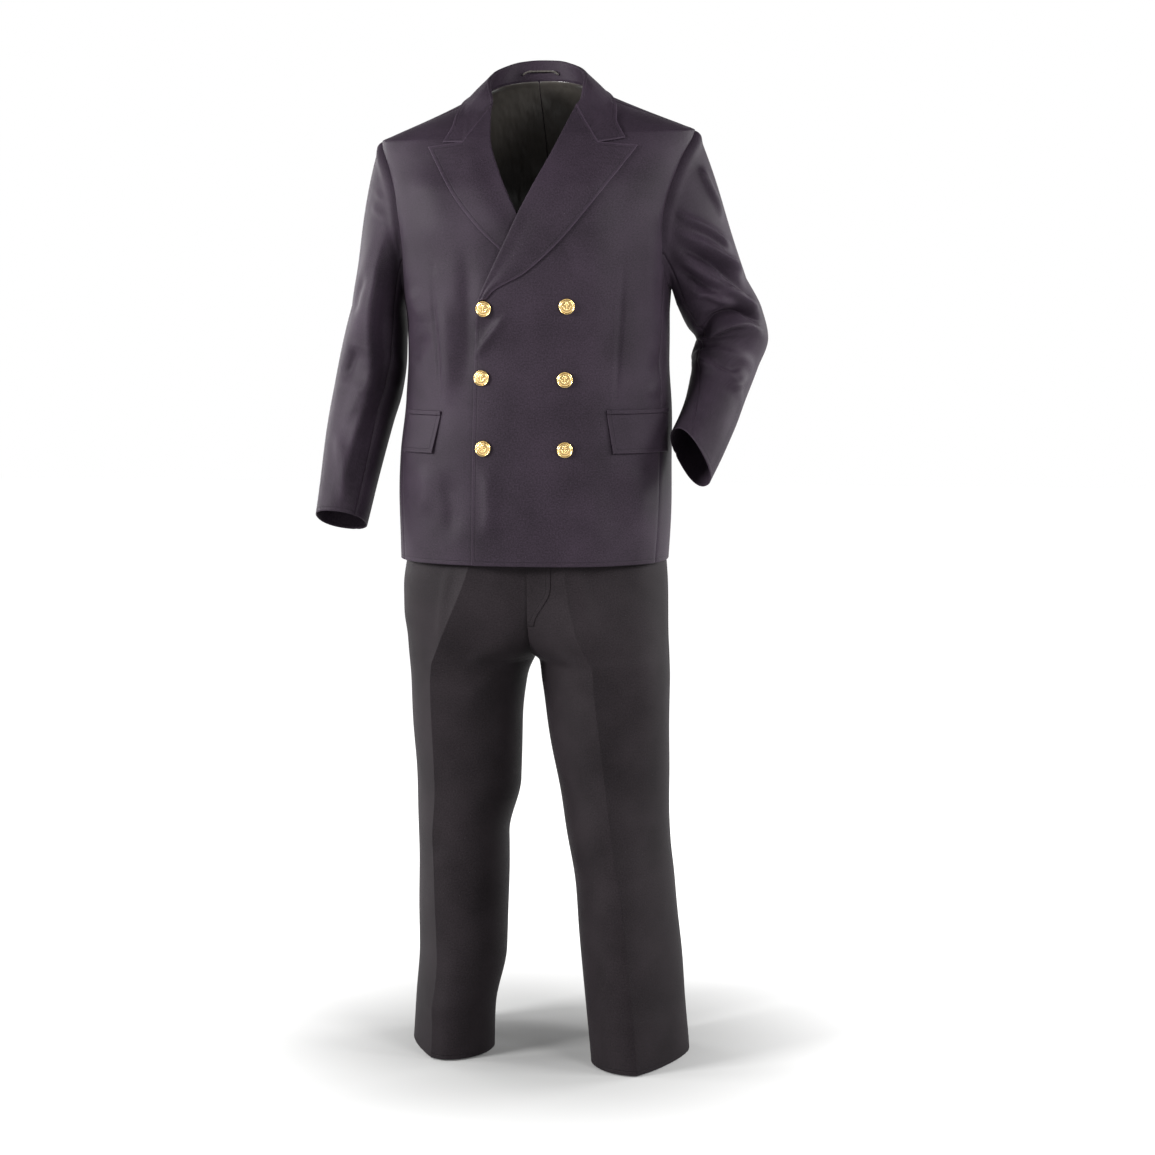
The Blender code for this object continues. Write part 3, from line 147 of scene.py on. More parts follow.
# %% Collar, sleeves, pockets and buttons
# Collar, at places along the neck seam: 0 is the gorge, 2 the side of the neck, 6 the centre back.
# The outer edge is given by its angle and level on the body and how far it stands off.
Station = namedtuple("Station", "place fold_x fold_y fold_z angle level out span")
COLLAR = [
    Station(0.4, 0.0690, -0.0450, -0.0010, 26.0, -0.0260, 0.0022, 0.45),
    Station(1.0, 0.0725, -0.0300, 0.0190, 17.0, -0.0090, 0.0018, 0.70),
    Station(2.0, 0.0740, 0.0000, 0.0360, 0.0, -0.0010, 0.0020, 0.95),
    Station(3.0, 0.0680, 0.0380, 0.0500, -23.0, 0.0010, 0.0035, 1.0),
    Station(4.0, 0.0530, 0.0670, 0.0610, -46.0, 0.0020, 0.0055, 1.0),
    Station(5.0, 0.0300, 0.0860, 0.0690, -68.0, 0.0020, 0.0080, 1.0),
    Station(6.0, 0.0000, 0.0925, 0.0715, -90.0, 0.0015, 0.0090, 1.0),
]
COLLAR_ROLL = 0.0016
GORGE_STAND = 0.0010    # height of the stand where it runs out at the gorge seam

# Arms: the inner and outer side of each ring, its middle in depth, half its depth and its pitch
ArmRing = namedtuple("ArmRing", "inner_x inner_z outer_x outer_z middle_y half_depth pitch")
ARMS = {
    -1: [
        ArmRing(0.2135, -0.3180, 0.2920, -0.3100, 0.004, 0.080, 0.0),
        ArmRing(0.2115, -0.3500, 0.3020, -0.3430, 0.006, 0.078, 0.0),
        ArmRing(0.2130, -0.3950, 0.3135, -0.3850, 0.010, 0.074, 2.0),
        ArmRing(0.2200, -0.4450, 0.3235, -0.4350, 0.008, 0.070, 6.0),
        ArmRing(0.2320, -0.4900, 0.3305, -0.4780, 0.000, 0.066, 11.0),
        ArmRing(0.2430, -0.5400, 0.3360, -0.5240, -0.014, 0.062, 15.0),
        ArmRing(0.2550, -0.5930, 0.3410, -0.5770, -0.030, 0.058, 18.0),
        ArmRing(0.2670, -0.6500, 0.3460, -0.6420, -0.048, 0.054, 20.0),
    ],
    1: [
        ArmRing(0.2150, -0.3080, 0.3225, -0.2700, 0.030, 0.080, -6.0),
        ArmRing(0.2310, -0.3440, 0.3470, -0.3160, 0.045, 0.076, 0.0),
        ArmRing(0.2480, -0.3700, 0.3565, -0.3600, 0.052, 0.070, 10.0),
        ArmRing(0.2440, -0.3940, 0.3420, -0.4020, 0.046, 0.067, 20.0),
        ArmRing(0.2375, -0.4230, 0.3290, -0.4430, 0.022, 0.062, 27.0),
        ArmRing(0.2340, -0.4500, 0.3145, -0.4900, -0.008, 0.058, 30.0),
        ArmRing(0.2290, -0.4740, 0.2930, -0.5380, -0.042, 0.054, 30.0),
        ArmRing(0.2210, -0.4985, 0.2700, -0.5850, -0.074, 0.050, 28.0),
    ],
}
ARM_SQUARENESS = 2.3
ARM_SAMPLES = 13

# Sleeve head, a smooth bridge from the armhole to the first free ring. The pulls are how strongly
# it leaves the armhole and meets the ring, over the shoulder and under the arm.
PULL_START = {1: 0.052, -1: 0.060}
PULL_END = {1: 0.22, -1: 0.26}
UNDER_START = 0.012
UNDER_END = 0.018
HEAD_WAY = (1.0, 0.0, -0.40)   # the way the cloth leaves the shoulder tip, for the wearer's left
HEAD_SHARE = 0.25       # least share of that way, under the arm
TOP_SLEEVE = (14, 27)   # columns of the top sleeve, counted past the shoulder tip

Fold = namedtuple("Fold", "row column slant length width height")
FOLDS_BEGIN = (0.10, 0.30)   # share of the sleeve over which its folds come up
FOLDS_CEASE = (0.90, 1.00)   # and over which they run out
ARM_FOLDS = {
    1: [
        Fold(0.53, 6.5, 0.022, 5.5, 0.030, 0.0060),
        Fold(0.59, 7.0, 0.014, 5.0, 0.024, 0.0055),
        Fold(0.66, 6.5, -0.004, 5.0, 0.026, 0.0060),
        Fold(0.73, 6.0, -0.016, 4.5, 0.026, 0.0050),
        Fold(0.44, 5.5, 0.030, 5.0, 0.034, 0.0050),
    ],
    -1: [
        Fold(0.55, 6.5, 0.010, 4.0, 0.035, 0.0030),
        Fold(0.64, 6.0, -0.006, 4.0, 0.030, 0.0025),
    ],
}

# Pockets: corners of the flap and of the strip above it, seen from the front
Flap = namedtuple("Flap", "top_in top_out bottom_in bottom_out top bottom strip_top")
FLAPS = {
    1: Flap(0.1226, 0.2060, 0.1310, 0.2045, -0.4755, -0.5335, -0.4700),
    -1: Flap(0.1327, 0.1895, 0.1454, 0.1975, -0.4785, -0.5350, -0.4730),
}

# Buttons, x and z seen from the front, and how far each lies off the cloth
Button = namedtuple("Button", "name x z lie")
BUTTONS = [
    Button("button_top_right", -0.0596, -0.3155, 0.0004),
    Button("button_top_left", 0.0639, -0.3120, 0.0001),
    Button("button_middle_right", -0.0655, -0.4200, 0.0004),
    Button("button_middle_left", 0.0606, -0.4221, 0.0006),
    Button("button_low_right", -0.0632, -0.5265, 0.0002),
    Button("button_low_left", 0.0606, -0.5277, 0.0004),
]
print(len(COLLAR), "places along half the collar,", len(BUTTONS), "buttons")

# %% [markdown]
# ## The legs
# A pressed trouser leg isn't round: it is drawn to a ridge at the front and back crease and goes
# flat beside it. Each row gives the leg's outer side, its middle, its depth and where the creases
# stand, in degrees from the outer side.

# %% Sections of the trousers
Leg = namedtuple("Leg", "z out middle middle_y front back crease back_crease skew square")
LEGS = {
    -1: [
        Leg(-0.595, 0.1800, 0.0000, 0.000, 0.118, 0.112, 52.0, 56.0, 0.00, 2.2),
        Leg(-0.650, 0.1970, 0.0030, 0.000, 0.124, 0.118, 55.0, 58.0, 0.00, 2.2),
        Leg(-0.705, 0.2074, 0.0150, 0.000, 0.128, 0.122, 60.0, 62.0, 0.00, 2.2),
        Leg(-0.750, 0.2140, 0.0345, 0.000, 0.128, 0.126, 62.0, 65.0, 0.00, 2.2),
        Leg(-0.790, 0.2130, 0.0575, 0.001, 0.126, 0.127, 64.0, 70.0, 0.00, 2.2),
        Leg(-0.830, 0.2075, 0.0845, 0.003, 0.121, 0.126, 67.0, 78.0, 0.00, 2.2),
        Leg(-0.850, 0.2064, 0.0973, 0.004, 0.117, 0.124, 68.0, 83.0, 0.00, 2.2),
        Leg(-0.8655, 0.2056, 0.1063, 0.005, 0.115, 0.121, 69.0, 88.0, 0.00, 2.15),
        Leg(-0.900, 0.2035, 0.1120, 0.006, 0.112, 0.116, 70.0, 94.0, 0.00, 2.1),
        Leg(-0.970, 0.2020, 0.1145, 0.008, 0.108, 0.109, 71.0, 100.0, 0.05, 2.05),
        Leg(-1.065, 0.1990, 0.1140, 0.010, 0.104, 0.103, 71.0, 105.0, 0.12, 2.0),
        Leg(-1.154, 0.1985, 0.1240, 0.012, 0.101, 0.100, 72.0, 107.0, 0.18, 1.95),
        Leg(-1.218, 0.1990, 0.1240, 0.012, 0.100, 0.098, 73.0, 107.0, 0.22, 1.9),
        Leg(-1.340, 0.2000, 0.1255, 0.010, 0.099, 0.097, 76.0, 104.0, 0.30, 1.8),
        Leg(-1.427, 0.2055, 0.1365, 0.006, 0.099, 0.097, 79.0, 101.0, 0.37, 1.75),
        Leg(-1.500, 0.2120, 0.1415, 0.004, 0.100, 0.098, 80.0, 100.0, 0.42, 1.7),
    ],
    1: [
        Leg(-0.595, 0.1800, 0.0000, 0.000, 0.118, 0.112, 62.0, 56.0, 0.00, 2.2),
        Leg(-0.650, 0.1940, 0.0030, 0.000, 0.124, 0.118, 66.0, 58.0, 0.00, 2.2),
        Leg(-0.705, 0.2020, 0.0150, 0.000, 0.128, 0.122, 72.0, 62.0, 0.00, 2.2),
        Leg(-0.750, 0.2048, 0.0330, 0.000, 0.128, 0.126, 78.0, 65.0, 0.00, 2.2),
        Leg(-0.790, 0.2062, 0.0560, -0.001, 0.127, 0.127, 84.0, 70.0, 0.00, 2.2),
        Leg(-0.830, 0.2070, 0.0840, -0.002, 0.123, 0.126, 90.0, 78.0, 0.00, 2.2),
        Leg(-0.850, 0.2077, 0.0970, -0.003, 0.119, 0.124, 91.0, 82.0, 0.00, 2.2),
        Leg(-0.8655, 0.2082, 0.1060, -0.004, 0.117, 0.121, 92.0, 86.0, 0.00, 2.15),
        Leg(-0.900, 0.2090, 0.1085, -0.006, 0.114, 0.116, 92.0, 88.0, 0.00, 2.1),
        Leg(-0.970, 0.2090, 0.1140, -0.010, 0.110, 0.109, 91.0, 90.0, 0.05, 2.05),
        Leg(-1.065, 0.2092, 0.1235, -0.014, 0.106, 0.103, 90.0, 91.0, 0.12, 2.0),
        Leg(-1.154, 0.2120, 0.1325, -0.018, 0.103, 0.100, 89.0, 92.0, 0.18, 1.95),
        Leg(-1.218, 0.2185, 0.1410, -0.021, 0.101, 0.098, 88.0, 93.0, 0.22, 1.9),
        Leg(-1.340, 0.2300, 0.1525, -0.028, 0.099, 0.097, 87.0, 93.0, 0.32, 1.8),
        Leg(-1.427, 0.2370, 0.1615, -0.032, 0.099, 0.097, 87.0, 93.0, 0.40, 1.75),
        Leg(-1.500, 0.2430, 0.1680, -0.036, 0.100, 0.098, 87.0, 93.0, 0.46, 1.7),
    ],
}
BAND_SQUARENESS = 2.2
CREASE_RISE = 0.075     # ridge of the pressed crease, as a part of the section's radius
CREASE_WIDTH = 16.0     # degrees
CREASE_SHARPER = 0.9    # how much more the front ridge rises below the jacket, where it is free
SHARPER_FROM = 0.02     # distance below the jacket's hem at which it begins to
SHARPER_FULL = 0.20

BAND_TOP = -0.5560
BAND_WALL = 0.0030
FLY_WIDTH = 0.036
FLY_END = -0.800
FLY_CURVE = 0.060       # length over which its foot curves in to the centre seam
FLY_NARROWING = 0.75    # part of the width it loses there
FLY_LIMIT = 40.0        # degrees, the widest place where its edge is looked for

# Hanger loop, a stiff cord along the inside of the collar's stand
LOOP_HALF = 0.028       # half its length across
LOOP_RISE = 0.006       # how far its flat top stands over its sewn ends
LOOP_RADIUS = 0.0014
LOOP_X = -0.006
LOOP_Y = 0.0818
LOOP_Z = 0.0500
LOOP_BEND = 3.55        # how fast the neck's curve carries its ends forward, per metre
print("legs from", LEGS[1][0].z, "to", LEGS[1][-1].z)

# %% [markdown]
# ## Smooth lines through a table
# A tailor bends a thin strip of wood, a spline, through the marked points. The same is done here
# with a cubic that takes its slope from the steps on both sides, so it never swings past them.

# %% Smooth functions


def smooth(at, values):
    """Cubic through the values, each piece h00*a + h10*slope_a + h01*b + h11*slope_b. A slope is
    the harmonic mean of the steps on both sides, and nought where they turn round."""
    at, values = np.array(at, float), np.array(values, float)
    shape = values.shape[1:]
    values = values.reshape(len(at), -1)
    gaps = np.diff(at)[:, None]
    steps = np.diff(values, axis=0) / gaps
    product = steps[:-1] * steps[1:]
    total = np.where(product > 0, steps[:-1] + steps[1:], 1.0)
    slopes = np.concatenate([steps[:1], np.where(product > 0, 2 * product / total, 0.0), steps[-1:]])

    def value(x):
        x = np.clip(np.asarray(x, float), at[0], at[-1])
        i = np.clip(np.searchsorted(at, x, side="right") - 1, 0, len(gaps) - 1)
        gap = gaps[i, 0][..., None]
        t = ((x - at[i])[..., None]) / gap
        near = (1 + 2 * t) * (1 - t) ** 2 * values[i] + t * (1 - t) ** 2 * gap * slopes[i]
        far = t * t * (3 - 2 * t) * values[i + 1] + t * t * (t - 1) * gap * slopes[i + 1]
        return (near + far).reshape(x.shape + shape)

    return value


def columns_of(rows, key):
    """One smooth function for each column of a table, of its column named key."""
    rows = sorted(rows, key=lambda row: getattr(row, key))
    at = [getattr(row, key) for row in rows]
    others = [name for name in rows[0]._fields if name != key]
    return {name: smooth(at, [getattr(row, name) for row in rows]) for name in others}


def unit(vectors):
    """Each vector divided by its length."""
    return vectors / np.maximum(np.linalg.norm(vectors, axis=-1, keepdims=True), 1e-12)


def ease(x, start, end):
    """0 before start and 1 after end, with t*t*(3 - 2*t) between them."""
    t = np.clip((x - start) / (end - start), 0.0, 1.0)
    return t * t * (3 - 2 * t)


def ring_radius(across, along, half, depth, power):
    """Distance from the middle to a superellipse: (|across/half|^p + |along/depth|^p)^(-1/p)."""
    return (np.abs(across / half) ** power + np.abs(along / depth) ** power) ** (-1 / power)


def shares(count, near=0.006):
    """Steps from 0 to 1, close together at both ends so that an edge can roll over."""
    start = near * np.array([0.0, 0.3, 1.0, 2.2, 4.0])
    return np.concatenate([start, np.linspace(start[-1], 1 - start[-1], count)[1:-1], 1 - start[::-1]])


def resampled(rows, at):
    """A polyline's points at the given shares of its length in steps."""
    steps = np.linspace(0, 1, len(rows))
    return np.stack([np.interp(at, steps, rows[:, k]) for k in range(rows.shape[1])], -1)


print("a panel's edge steps are", shares(4).round(4))

# %% [markdown]
# ## The body as a function of two parameters
# A ring is a superellipse: |x/half|^p + |y/depth|^p = 1, a little squarer than an ellipse because a
# canvas-built chest is flat in front. Turning the angle walks round the ring, changing the level
# climbs it, and a third number moves the point out along the surface's normal.

# %% The jacket's form
BODY = columns_of(TORSO, "level")
HOLE = columns_of(ARMHOLE, "turn")
RISE = columns_of(OVERLAP, "z")["rise"]


def body_ring(angle, level):
    """Superellipse point at an angle, 0 the wearer's left and a quarter turn the front, then
    leaned, lifted towards the shoulders and turned as its row says."""
    angle, level = np.broadcast_arrays(np.asarray(angle, float), np.asarray(level, float))
    across, along = np.cos(angle), np.sin(angle)
    depth = np.where(along >= 0, BODY["front"](level), BODY["back"](level))
    radius = ring_radius(across, along, BODY["half"](level), depth, SQUARENESS)
    x, y = radius * across, -radius * along
    z = level + BODY["lean"](level) * y + BODY["lift"](level) * x
    return np.stack([x + BODY["sway"](level) + BODY["turn"](level) * y, y, z], -1)


def body_normal(angle, level, step=0.0015):
    """Cross product of the surface's two slopes, each from a small step both ways."""
    around = body_ring(angle + step, level) - body_ring(angle - step, level)
    upward = body_ring(angle, level + step) - body_ring(angle, level - step)
    return unit(np.cross(upward, around))


def body(angle, level, out=0.0):
    """Point of the jacket's form moved out along its normal."""
    return body_ring(angle, level) + body_normal(angle, level) * np.asarray(out, float)[..., None]


def on_front(x, z):
    """Angle and level of the front's point that shows at x and z, found by repeated correction."""
    x, z = np.broadcast_arrays(np.asarray(x, float), np.asarray(z, float))
    level, y = z.copy(), 0.0 * z
    for _ in range(25):
        own_x = x - BODY["sway"](level) - BODY["turn"](level) * y
        inside = 1 - np.minimum(np.abs(own_x / BODY["half"](level)), 0.995) ** SQUARENESS
        y = -BODY["front"](level) * inside ** (1 / SQUARENESS)
        level = z - BODY["lean"](level) * y - BODY["lift"](level) * own_x
    return np.arctan2(-y, own_x), level


def rise_at(points):
    """How far the left front stands off the body's form where it laps over the right one."""
    return RISE(points[..., 2]) * (1 - ease(points[..., 0], OVERLAP_FULL, OVERLAP_END))


print("chest depth at the armpit", (BODY["front"](ARMPIT) + BODY["back"](ARMPIT)).round(3))

# %% Seams and edges of the jacket as lines on the form
FINE = 8                # rows of a panel here for each row of its plain solid


def side_angle(angle, side):
    """Mirror an angle given for the wearer's left to the asked side."""
    return angle if side > 0 else np.pi - angle


def armhole(turn, face, side):
    """Angle and level on the armhole, from the armpit at 0 to the shoulder tip at 1."""
    level = HOLE[face + "_level"](turn)
    y = HOLE[face](turn)
    inside = 1 - np.abs(y / BODY[face](level)) ** SQUARENESS
    x = BODY["half"](level) * inside ** (1 / SQUARENESS)
    angle = np.arctan2(y if face == "front" else -y, x)
    return np.stack([side_angle(angle, side), level], -1)


def side_seam(face, side):
    """Straight line of angle and level from the hem to the armhole."""
    top = armhole(np.array(SIDE_SEAM), face, 1)
    y = SIDE_SEAM_HEM[face]
    x = BODY["half"](HEM) * (1 - (y / BODY[face](HEM)) ** SQUARENESS) ** (1 / SQUARENESS)
    foot = np.array([np.arctan2(y if face == "front" else -y, x), HEM])
    t = np.linspace(0, 1, 8 * FINE + 1)[:, None]
    rows = (1 - t) * foot + t * top
    rows[:, 0] = side_angle(rows[:, 0], side)
    return rows


def arm_side(face, side):
    """Line up the armhole, from the side seam to the shoulder tip."""
    return armhole(np.linspace(SIDE_SEAM, 1, 8 * FINE + 1), face, side)


def front_rows(table, side, z):
    """Angle and level of a line of the front given by its x at each z."""
    return np.stack(on_front(side * columns_of(table, "z")["x"](z), z), -1)


def neck_rows(start_angle, start_level, steps, side):
    """Line along the neckline, from a point of the front or back to the side of the neck."""
    t = np.linspace(0, 1, steps + 1)[1:]
    angle = (1 - t) * start_angle + t * side_angle(0.0, side)
    return np.stack([angle, (1 - t) * start_level + t * NECK], -1)


def front_edge_rows(side):
    """Line up the front edge, the break line and the neckline."""
    straight = front_rows(FRONT_EDGE[side], side, np.linspace(HEM, BREAK, 8 * FINE + 1))
    climb = np.linspace(BREAK, BREAK_LINE[side][-1].z, 6 * FINE + 1)
    rolled = front_rows(BREAK_LINE[side], side, climb)
    straight[-1] = rolled[0]
    return np.concatenate([straight, rolled[1:], neck_rows(*rolled[-1], 2 * FINE, side)])


def back_edge_rows(side):
    """Line up the centre back seam and along the back neckline."""
    middle = -np.pi / 2 if side > 0 else 1.5 * np.pi
    top = armhole(np.array(SIDE_SEAM), "back", side)[1]
    levels = np.concatenate([np.linspace(HEM, top, 8 * FINE + 1), np.linspace(top, NECK, 4 * FINE + 1)[1:]])
    rows = np.stack([np.full_like(levels, middle), levels], -1)
    return np.concatenate([rows, neck_rows(middle, NECK, 4 * FINE, side)])


def hole_bottom(side):
    """Line along the bottom of the armhole, from the front seam to the back."""
    front = armhole(np.linspace(SIDE_SEAM, 0, 2 * FINE + 1), "front", side)
    back = armhole(np.linspace(0, SIDE_SEAM, 2 * FINE + 1), "back", side)
    return np.concatenate([front, back[1:]])


def between(first, last, at):
    """Grid of angle and level between two edges: (1 - t) * first + t * last."""
    t = at[None, :, None]
    return (1 - t) * first[:, None] + t * last[:, None]


def side_name(side):
    return "left" if side > 0 else "right"


print("front edge runs through", len(front_edge_rows(1)), "points")

# %% [markdown]
# ## Creases placed one by one
# Cloth shows where it is held and where it is pushed. Each crease is a line through a few points of
# the front or back as one looks at it, with its own width, height and steep side. A point of the
# cloth moves out by height * exp(-(distance / width)^2), fading towards the crease's two ends.

# %% Creases
Crease = namedtuple("Crease", "points width height lean")
CREASE_STEPS = 14
CREASE_FADE = 0.35      # share of a crease's length over which each of its ends dies out


def crease_relief(points, creases):
    """Sum over the creases of height * exp(-(d/width)^2) * fade, d measured in the x-z plane. The
    width is (1 + lean) of its own on the left of the line and (1 - lean) on its right."""
    flat = points[..., (0, 2)]
    total = np.zeros(flat.shape[:-1])
    for crease in creases:
        line = np.array(crease.points, float)
        track = smooth(np.linspace(0, 1, len(line)), line)(np.linspace(0, 1, CREASE_STEPS + 1))
        start, run = track[:-1], np.diff(track, axis=0)
        off = flat[..., None, :] - start
        along = np.clip((off * run).sum(-1) / (run * run).sum(-1), 0, 1)
        gap = off - along[..., None] * run
        far = np.linalg.norm(gap, axis=-1)
        pick = far.argmin(-1)[..., None]
        nearest = np.take_along_axis(far, pick, -1)[..., 0]
        place = (pick + np.take_along_axis(along, pick, -1))[..., 0] / CREASE_STEPS
        turn = np.take_along_axis(run[:, 0] * gap[..., 1] - run[:, 1] * gap[..., 0], pick, -1)[..., 0]
        width = crease.width * (1 + crease.lean * np.sign(turn))
        fade = ease(place, 0.0, CREASE_FADE) * (1 - ease(place, 1 - CREASE_FADE, 1.0))
        total += crease.height * np.exp(-(nearest / width) ** 2) * fade
    return total


def wander(points, seed, size=0.0006):
    """Slow unevenness of hung cloth: a few sine waves whose lengths don't repeat together."""
    x, y, z = points[..., 0], points[..., 1], points[..., 2]
    waves = np.sin(31 * x + 17 * z + seed) + np.sin(-23 * x + 41 * z + 2.3 * seed)
    return size * (waves + np.sin(57 * x + 9 * z + 29 * y - seed)) / 2


print("a crease is measured in", CREASE_STEPS, "steps")

# %% [markdown]
# ## From two grids to one closed sheet
# A panel is a sheet with an outer face, an inner face and a rolled edge. Both faces are grids, and
# a middle line pushed out by a part of the thickness rounds the edge, as pressing does. Measured
# lengths along the grid give the weave its scale and tell the stitches where the edge is.

# %% Sheets
SEAM_DIP = 0.0014       # how deep a seam pulls the cloth in
SEAM_REACH = 0.0030     # how far from the seam that is seen
SEAM_SPACE = 0.0002     # half the space between two panels
LEAST_SIDE = 0.0101     # the narrowest strip of cloth that is kept as a cut size


def seam_dip(far):
    """How deep the cloth sinks at a distance from a seam: SEAM_DIP * exp(-(far/SEAM_REACH)^2)."""
    return SEAM_DIP * np.exp(-(far / SEAM_REACH) ** 2)


def lengths(grid):
    """Distance in metres of each point from the grid's four edges, along its rows and columns."""
    across = np.linalg.norm(np.diff(grid, axis=1), axis=-1).cumsum(1)
    across = np.concatenate([np.zeros((len(grid), 1)), across], 1)
    up = np.linalg.norm(np.diff(grid, axis=0), axis=-1).cumsum(0)
    up = np.concatenate([np.zeros((1, grid.shape[1])), up])
    return {"first": across, "last": across[:, -1:] - across, "bottom": up, "top": up[-1:] - up}


def cut_size(grid):
    """Width, length and area of a panel's cut, from the grid's own rows, columns and cells."""
    far = lengths(grid)
    one, two = grid[1:, 1:] - grid[:-1, :-1], grid[1:, :-1] - grid[:-1, 1:]
    area = np.linalg.norm(np.cross(one, two), axis=-1).sum() / 2
    width, length = far["first"][:, -1].max(), far["bottom"][-1].max()
    return (max(float(width), LEAST_SIDE), max(float(length), LEAST_SIDE)), float(min(area, width * length))


def mesh_piece(name, points, faces, finish, smooth_shading=True):
    """A mesh object at the origin, from arrays of points and of faces."""
    data = bpy.data.meshes.new(name)
    data.from_pydata(points.tolist(), [], [face for block in faces for face in block.tolist()])
    data.polygons.foreach_set("use_smooth", np.full(len(data.polygons), smooth_shading))
    data.materials.append(finish)
    data.update()
    piece = bpy.data.objects.new(name, data)
    bpy.context.scene.collection.objects.link(piece)
    return piece


def add_lengths(piece, across, up, edge):
    """Keep each point's place on the cloth, in metres, as a UV map, and its distance to the edge."""
    data = piece.data
    corners = np.zeros(len(data.loops), np.int32)
    data.loops.foreach_get("vertex_index", corners)
    layer = data.uv_layers.new(name="cloth")
    layer.data.foreach_set("uv", np.stack([across[corners], up[corners]], -1).astype(np.float32).ravel())
    attribute = data.attributes.new("edge", "FLOAT", "POINT")
    attribute.data.foreach_set("value", edge.astype(np.float32))


def sheet_mesh(name, outer, inner, finish, edge, closed=False, bulge=0.4):
    """Closed sheet between two grids. Its rim is rounded by a line halfway between the faces,
    pushed away from the sheet by bulge times the thickness."""
    rows, columns = outer.shape[:2]
    index = np.arange(rows * columns).reshape(rows, columns)
    wide = np.concatenate([index, index[:, :1]], 1) if closed else index
    a, b, c, d = wide[:-1, :-1], wide[:-1, 1:], wide[1:, 1:], wide[1:, :-1]
    flat_outer, flat_inner = outer.reshape(-1, 3), inner.reshape(-1, 3)
    out_way = flat_outer - flat_inner
    turn = np.cross(flat_outer[b] - flat_outer[a], flat_outer[d] - flat_outer[a])
    facing = np.sign((turn * out_way[a]).sum())
    near = np.stack([a, b, c, d], -1).reshape(-1, 4)
    far = np.stack([a, d, c, b], -1).reshape(-1, 4) + rows * columns
    if closed:
        loops = [wide[0, :-1], wide[-1, :-1][::-1]]
    else:
        loops = [np.concatenate([index[0, :-1], index[:-1, -1], index[-1, :0:-1], index[:0:-1, 0]])]
    points, faces, count = [flat_outer, flat_inner], [near, far], 2 * rows * columns
    keep = [np.arange(rows * columns)] * 2
    for loop in loops:
        line, back = flat_outer[loop], flat_inner[loop]
        tangent = np.roll(line, -1, 0) - np.roll(line, 1, 0)
        away = unit(np.cross(tangent, line - back)) * facing
        depth = np.linalg.norm(line - back, axis=-1, keepdims=True)
        middle = np.arange(len(loop)) + count
        after, middle_after = np.roll(loop, -1), np.roll(middle, -1)
        hidden, hidden_after = loop + rows * columns, after + rows * columns
        points.append((line + back) / 2 + away * depth * bulge)
        faces += [np.stack([after, loop, middle, middle_after], -1),
                  np.stack([middle_after, middle, hidden, hidden_after], -1)]
        keep.append(loop)
        count += len(loop)
    if facing < 0:
        faces = [block[:, ::-1] for block in faces]
    piece = mesh_piece(name, np.concatenate(points), faces, finish)
    far = lengths(outer)
    keep = np.concatenate(keep)
    add_lengths(piece, far["first"].ravel()[keep], far["bottom"].ravel()[keep], edge.ravel()[keep])
    return piece


made = []


def cloth(node, outer, inner, finish, seams=(), hems=(), closed=False):
    """Turn two grids into the cloth of one node: dip its seams, roll its edges, and keep the size
    that it was cut to in the list of made pieces."""
    whole = np.concatenate([outer, outer[:, :1]], 1) if closed else outer
    flat, area = cut_size(whole)
    far = lengths(outer)
    dip = np.zeros(outer.shape[:2])
    for name in seams:
        dip += seam_dip(far[name])
    sunk = unit(inner - outer) * dip[..., None]
    outer, inner = outer + sunk, inner + sunk
    ends = {"bottom": (0, 1), "top": (-1, -2), "first": (0, 1), "last": (-1, -2)}
    for name in seams:
        end, beside = ends[name]
        for grid in (outer, inner):
            rows = grid if name in ("bottom", "top") else grid.swapaxes(0, 1)
            rows[end] += unit(rows[beside] - rows[end]) * SEAM_SPACE
    edge = np.full(outer.shape[:2], 1.0)
    for name in hems:
        edge = np.minimum(edge, far[name])
    piece = sheet_mesh(node + "_cloth", outer, inner, finish, edge, closed)
    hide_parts(node)
    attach(piece, "root")
    cut = [round(size, 3) for size in flat]
    made.append((piece.name, 2 * len(piece.data.polygons), cut, round(area, 4)))
    return piece


print("a seam dips by", SEAM_DIP, "m")

# %% [markdown]
# ## How the finishes are wired
# Blender's materials are graphs of nodes. Wiring them by hand hides the idea, so a small class lets
# a socket be used in plain arithmetic, and one method makes any other node from its kind, its
# settings and its inputs. The formulas below then read as they would on paper.

# %% Wires and finishes


def joined(operation, swapped=False):
    """A method that joins a wire and a number or wire with one Math node."""
    def method(self, other):
        pair = (other, self) if swapped else (self, other)
        return self.finish.maths(operation, *pair)
    return method


class Wire:
    """One varying number in a finish, to be added, multiplied and so on like any number."""

    def __init__(self, finish, socket):
        self.finish, self.socket = finish, socket

    __add__, __radd__ = joined("ADD"), joined("ADD", True)
    __sub__, __rsub__ = joined("SUBTRACT"), joined("SUBTRACT", True)
    __mul__, __rmul__ = joined("MULTIPLY"), joined("MULTIPLY", True)
    __truediv__, __rtruediv__ = joined("DIVIDE"), joined("DIVIDE", True)
    __pow__, __rpow__ = joined("POWER"), joined("POWER", True)


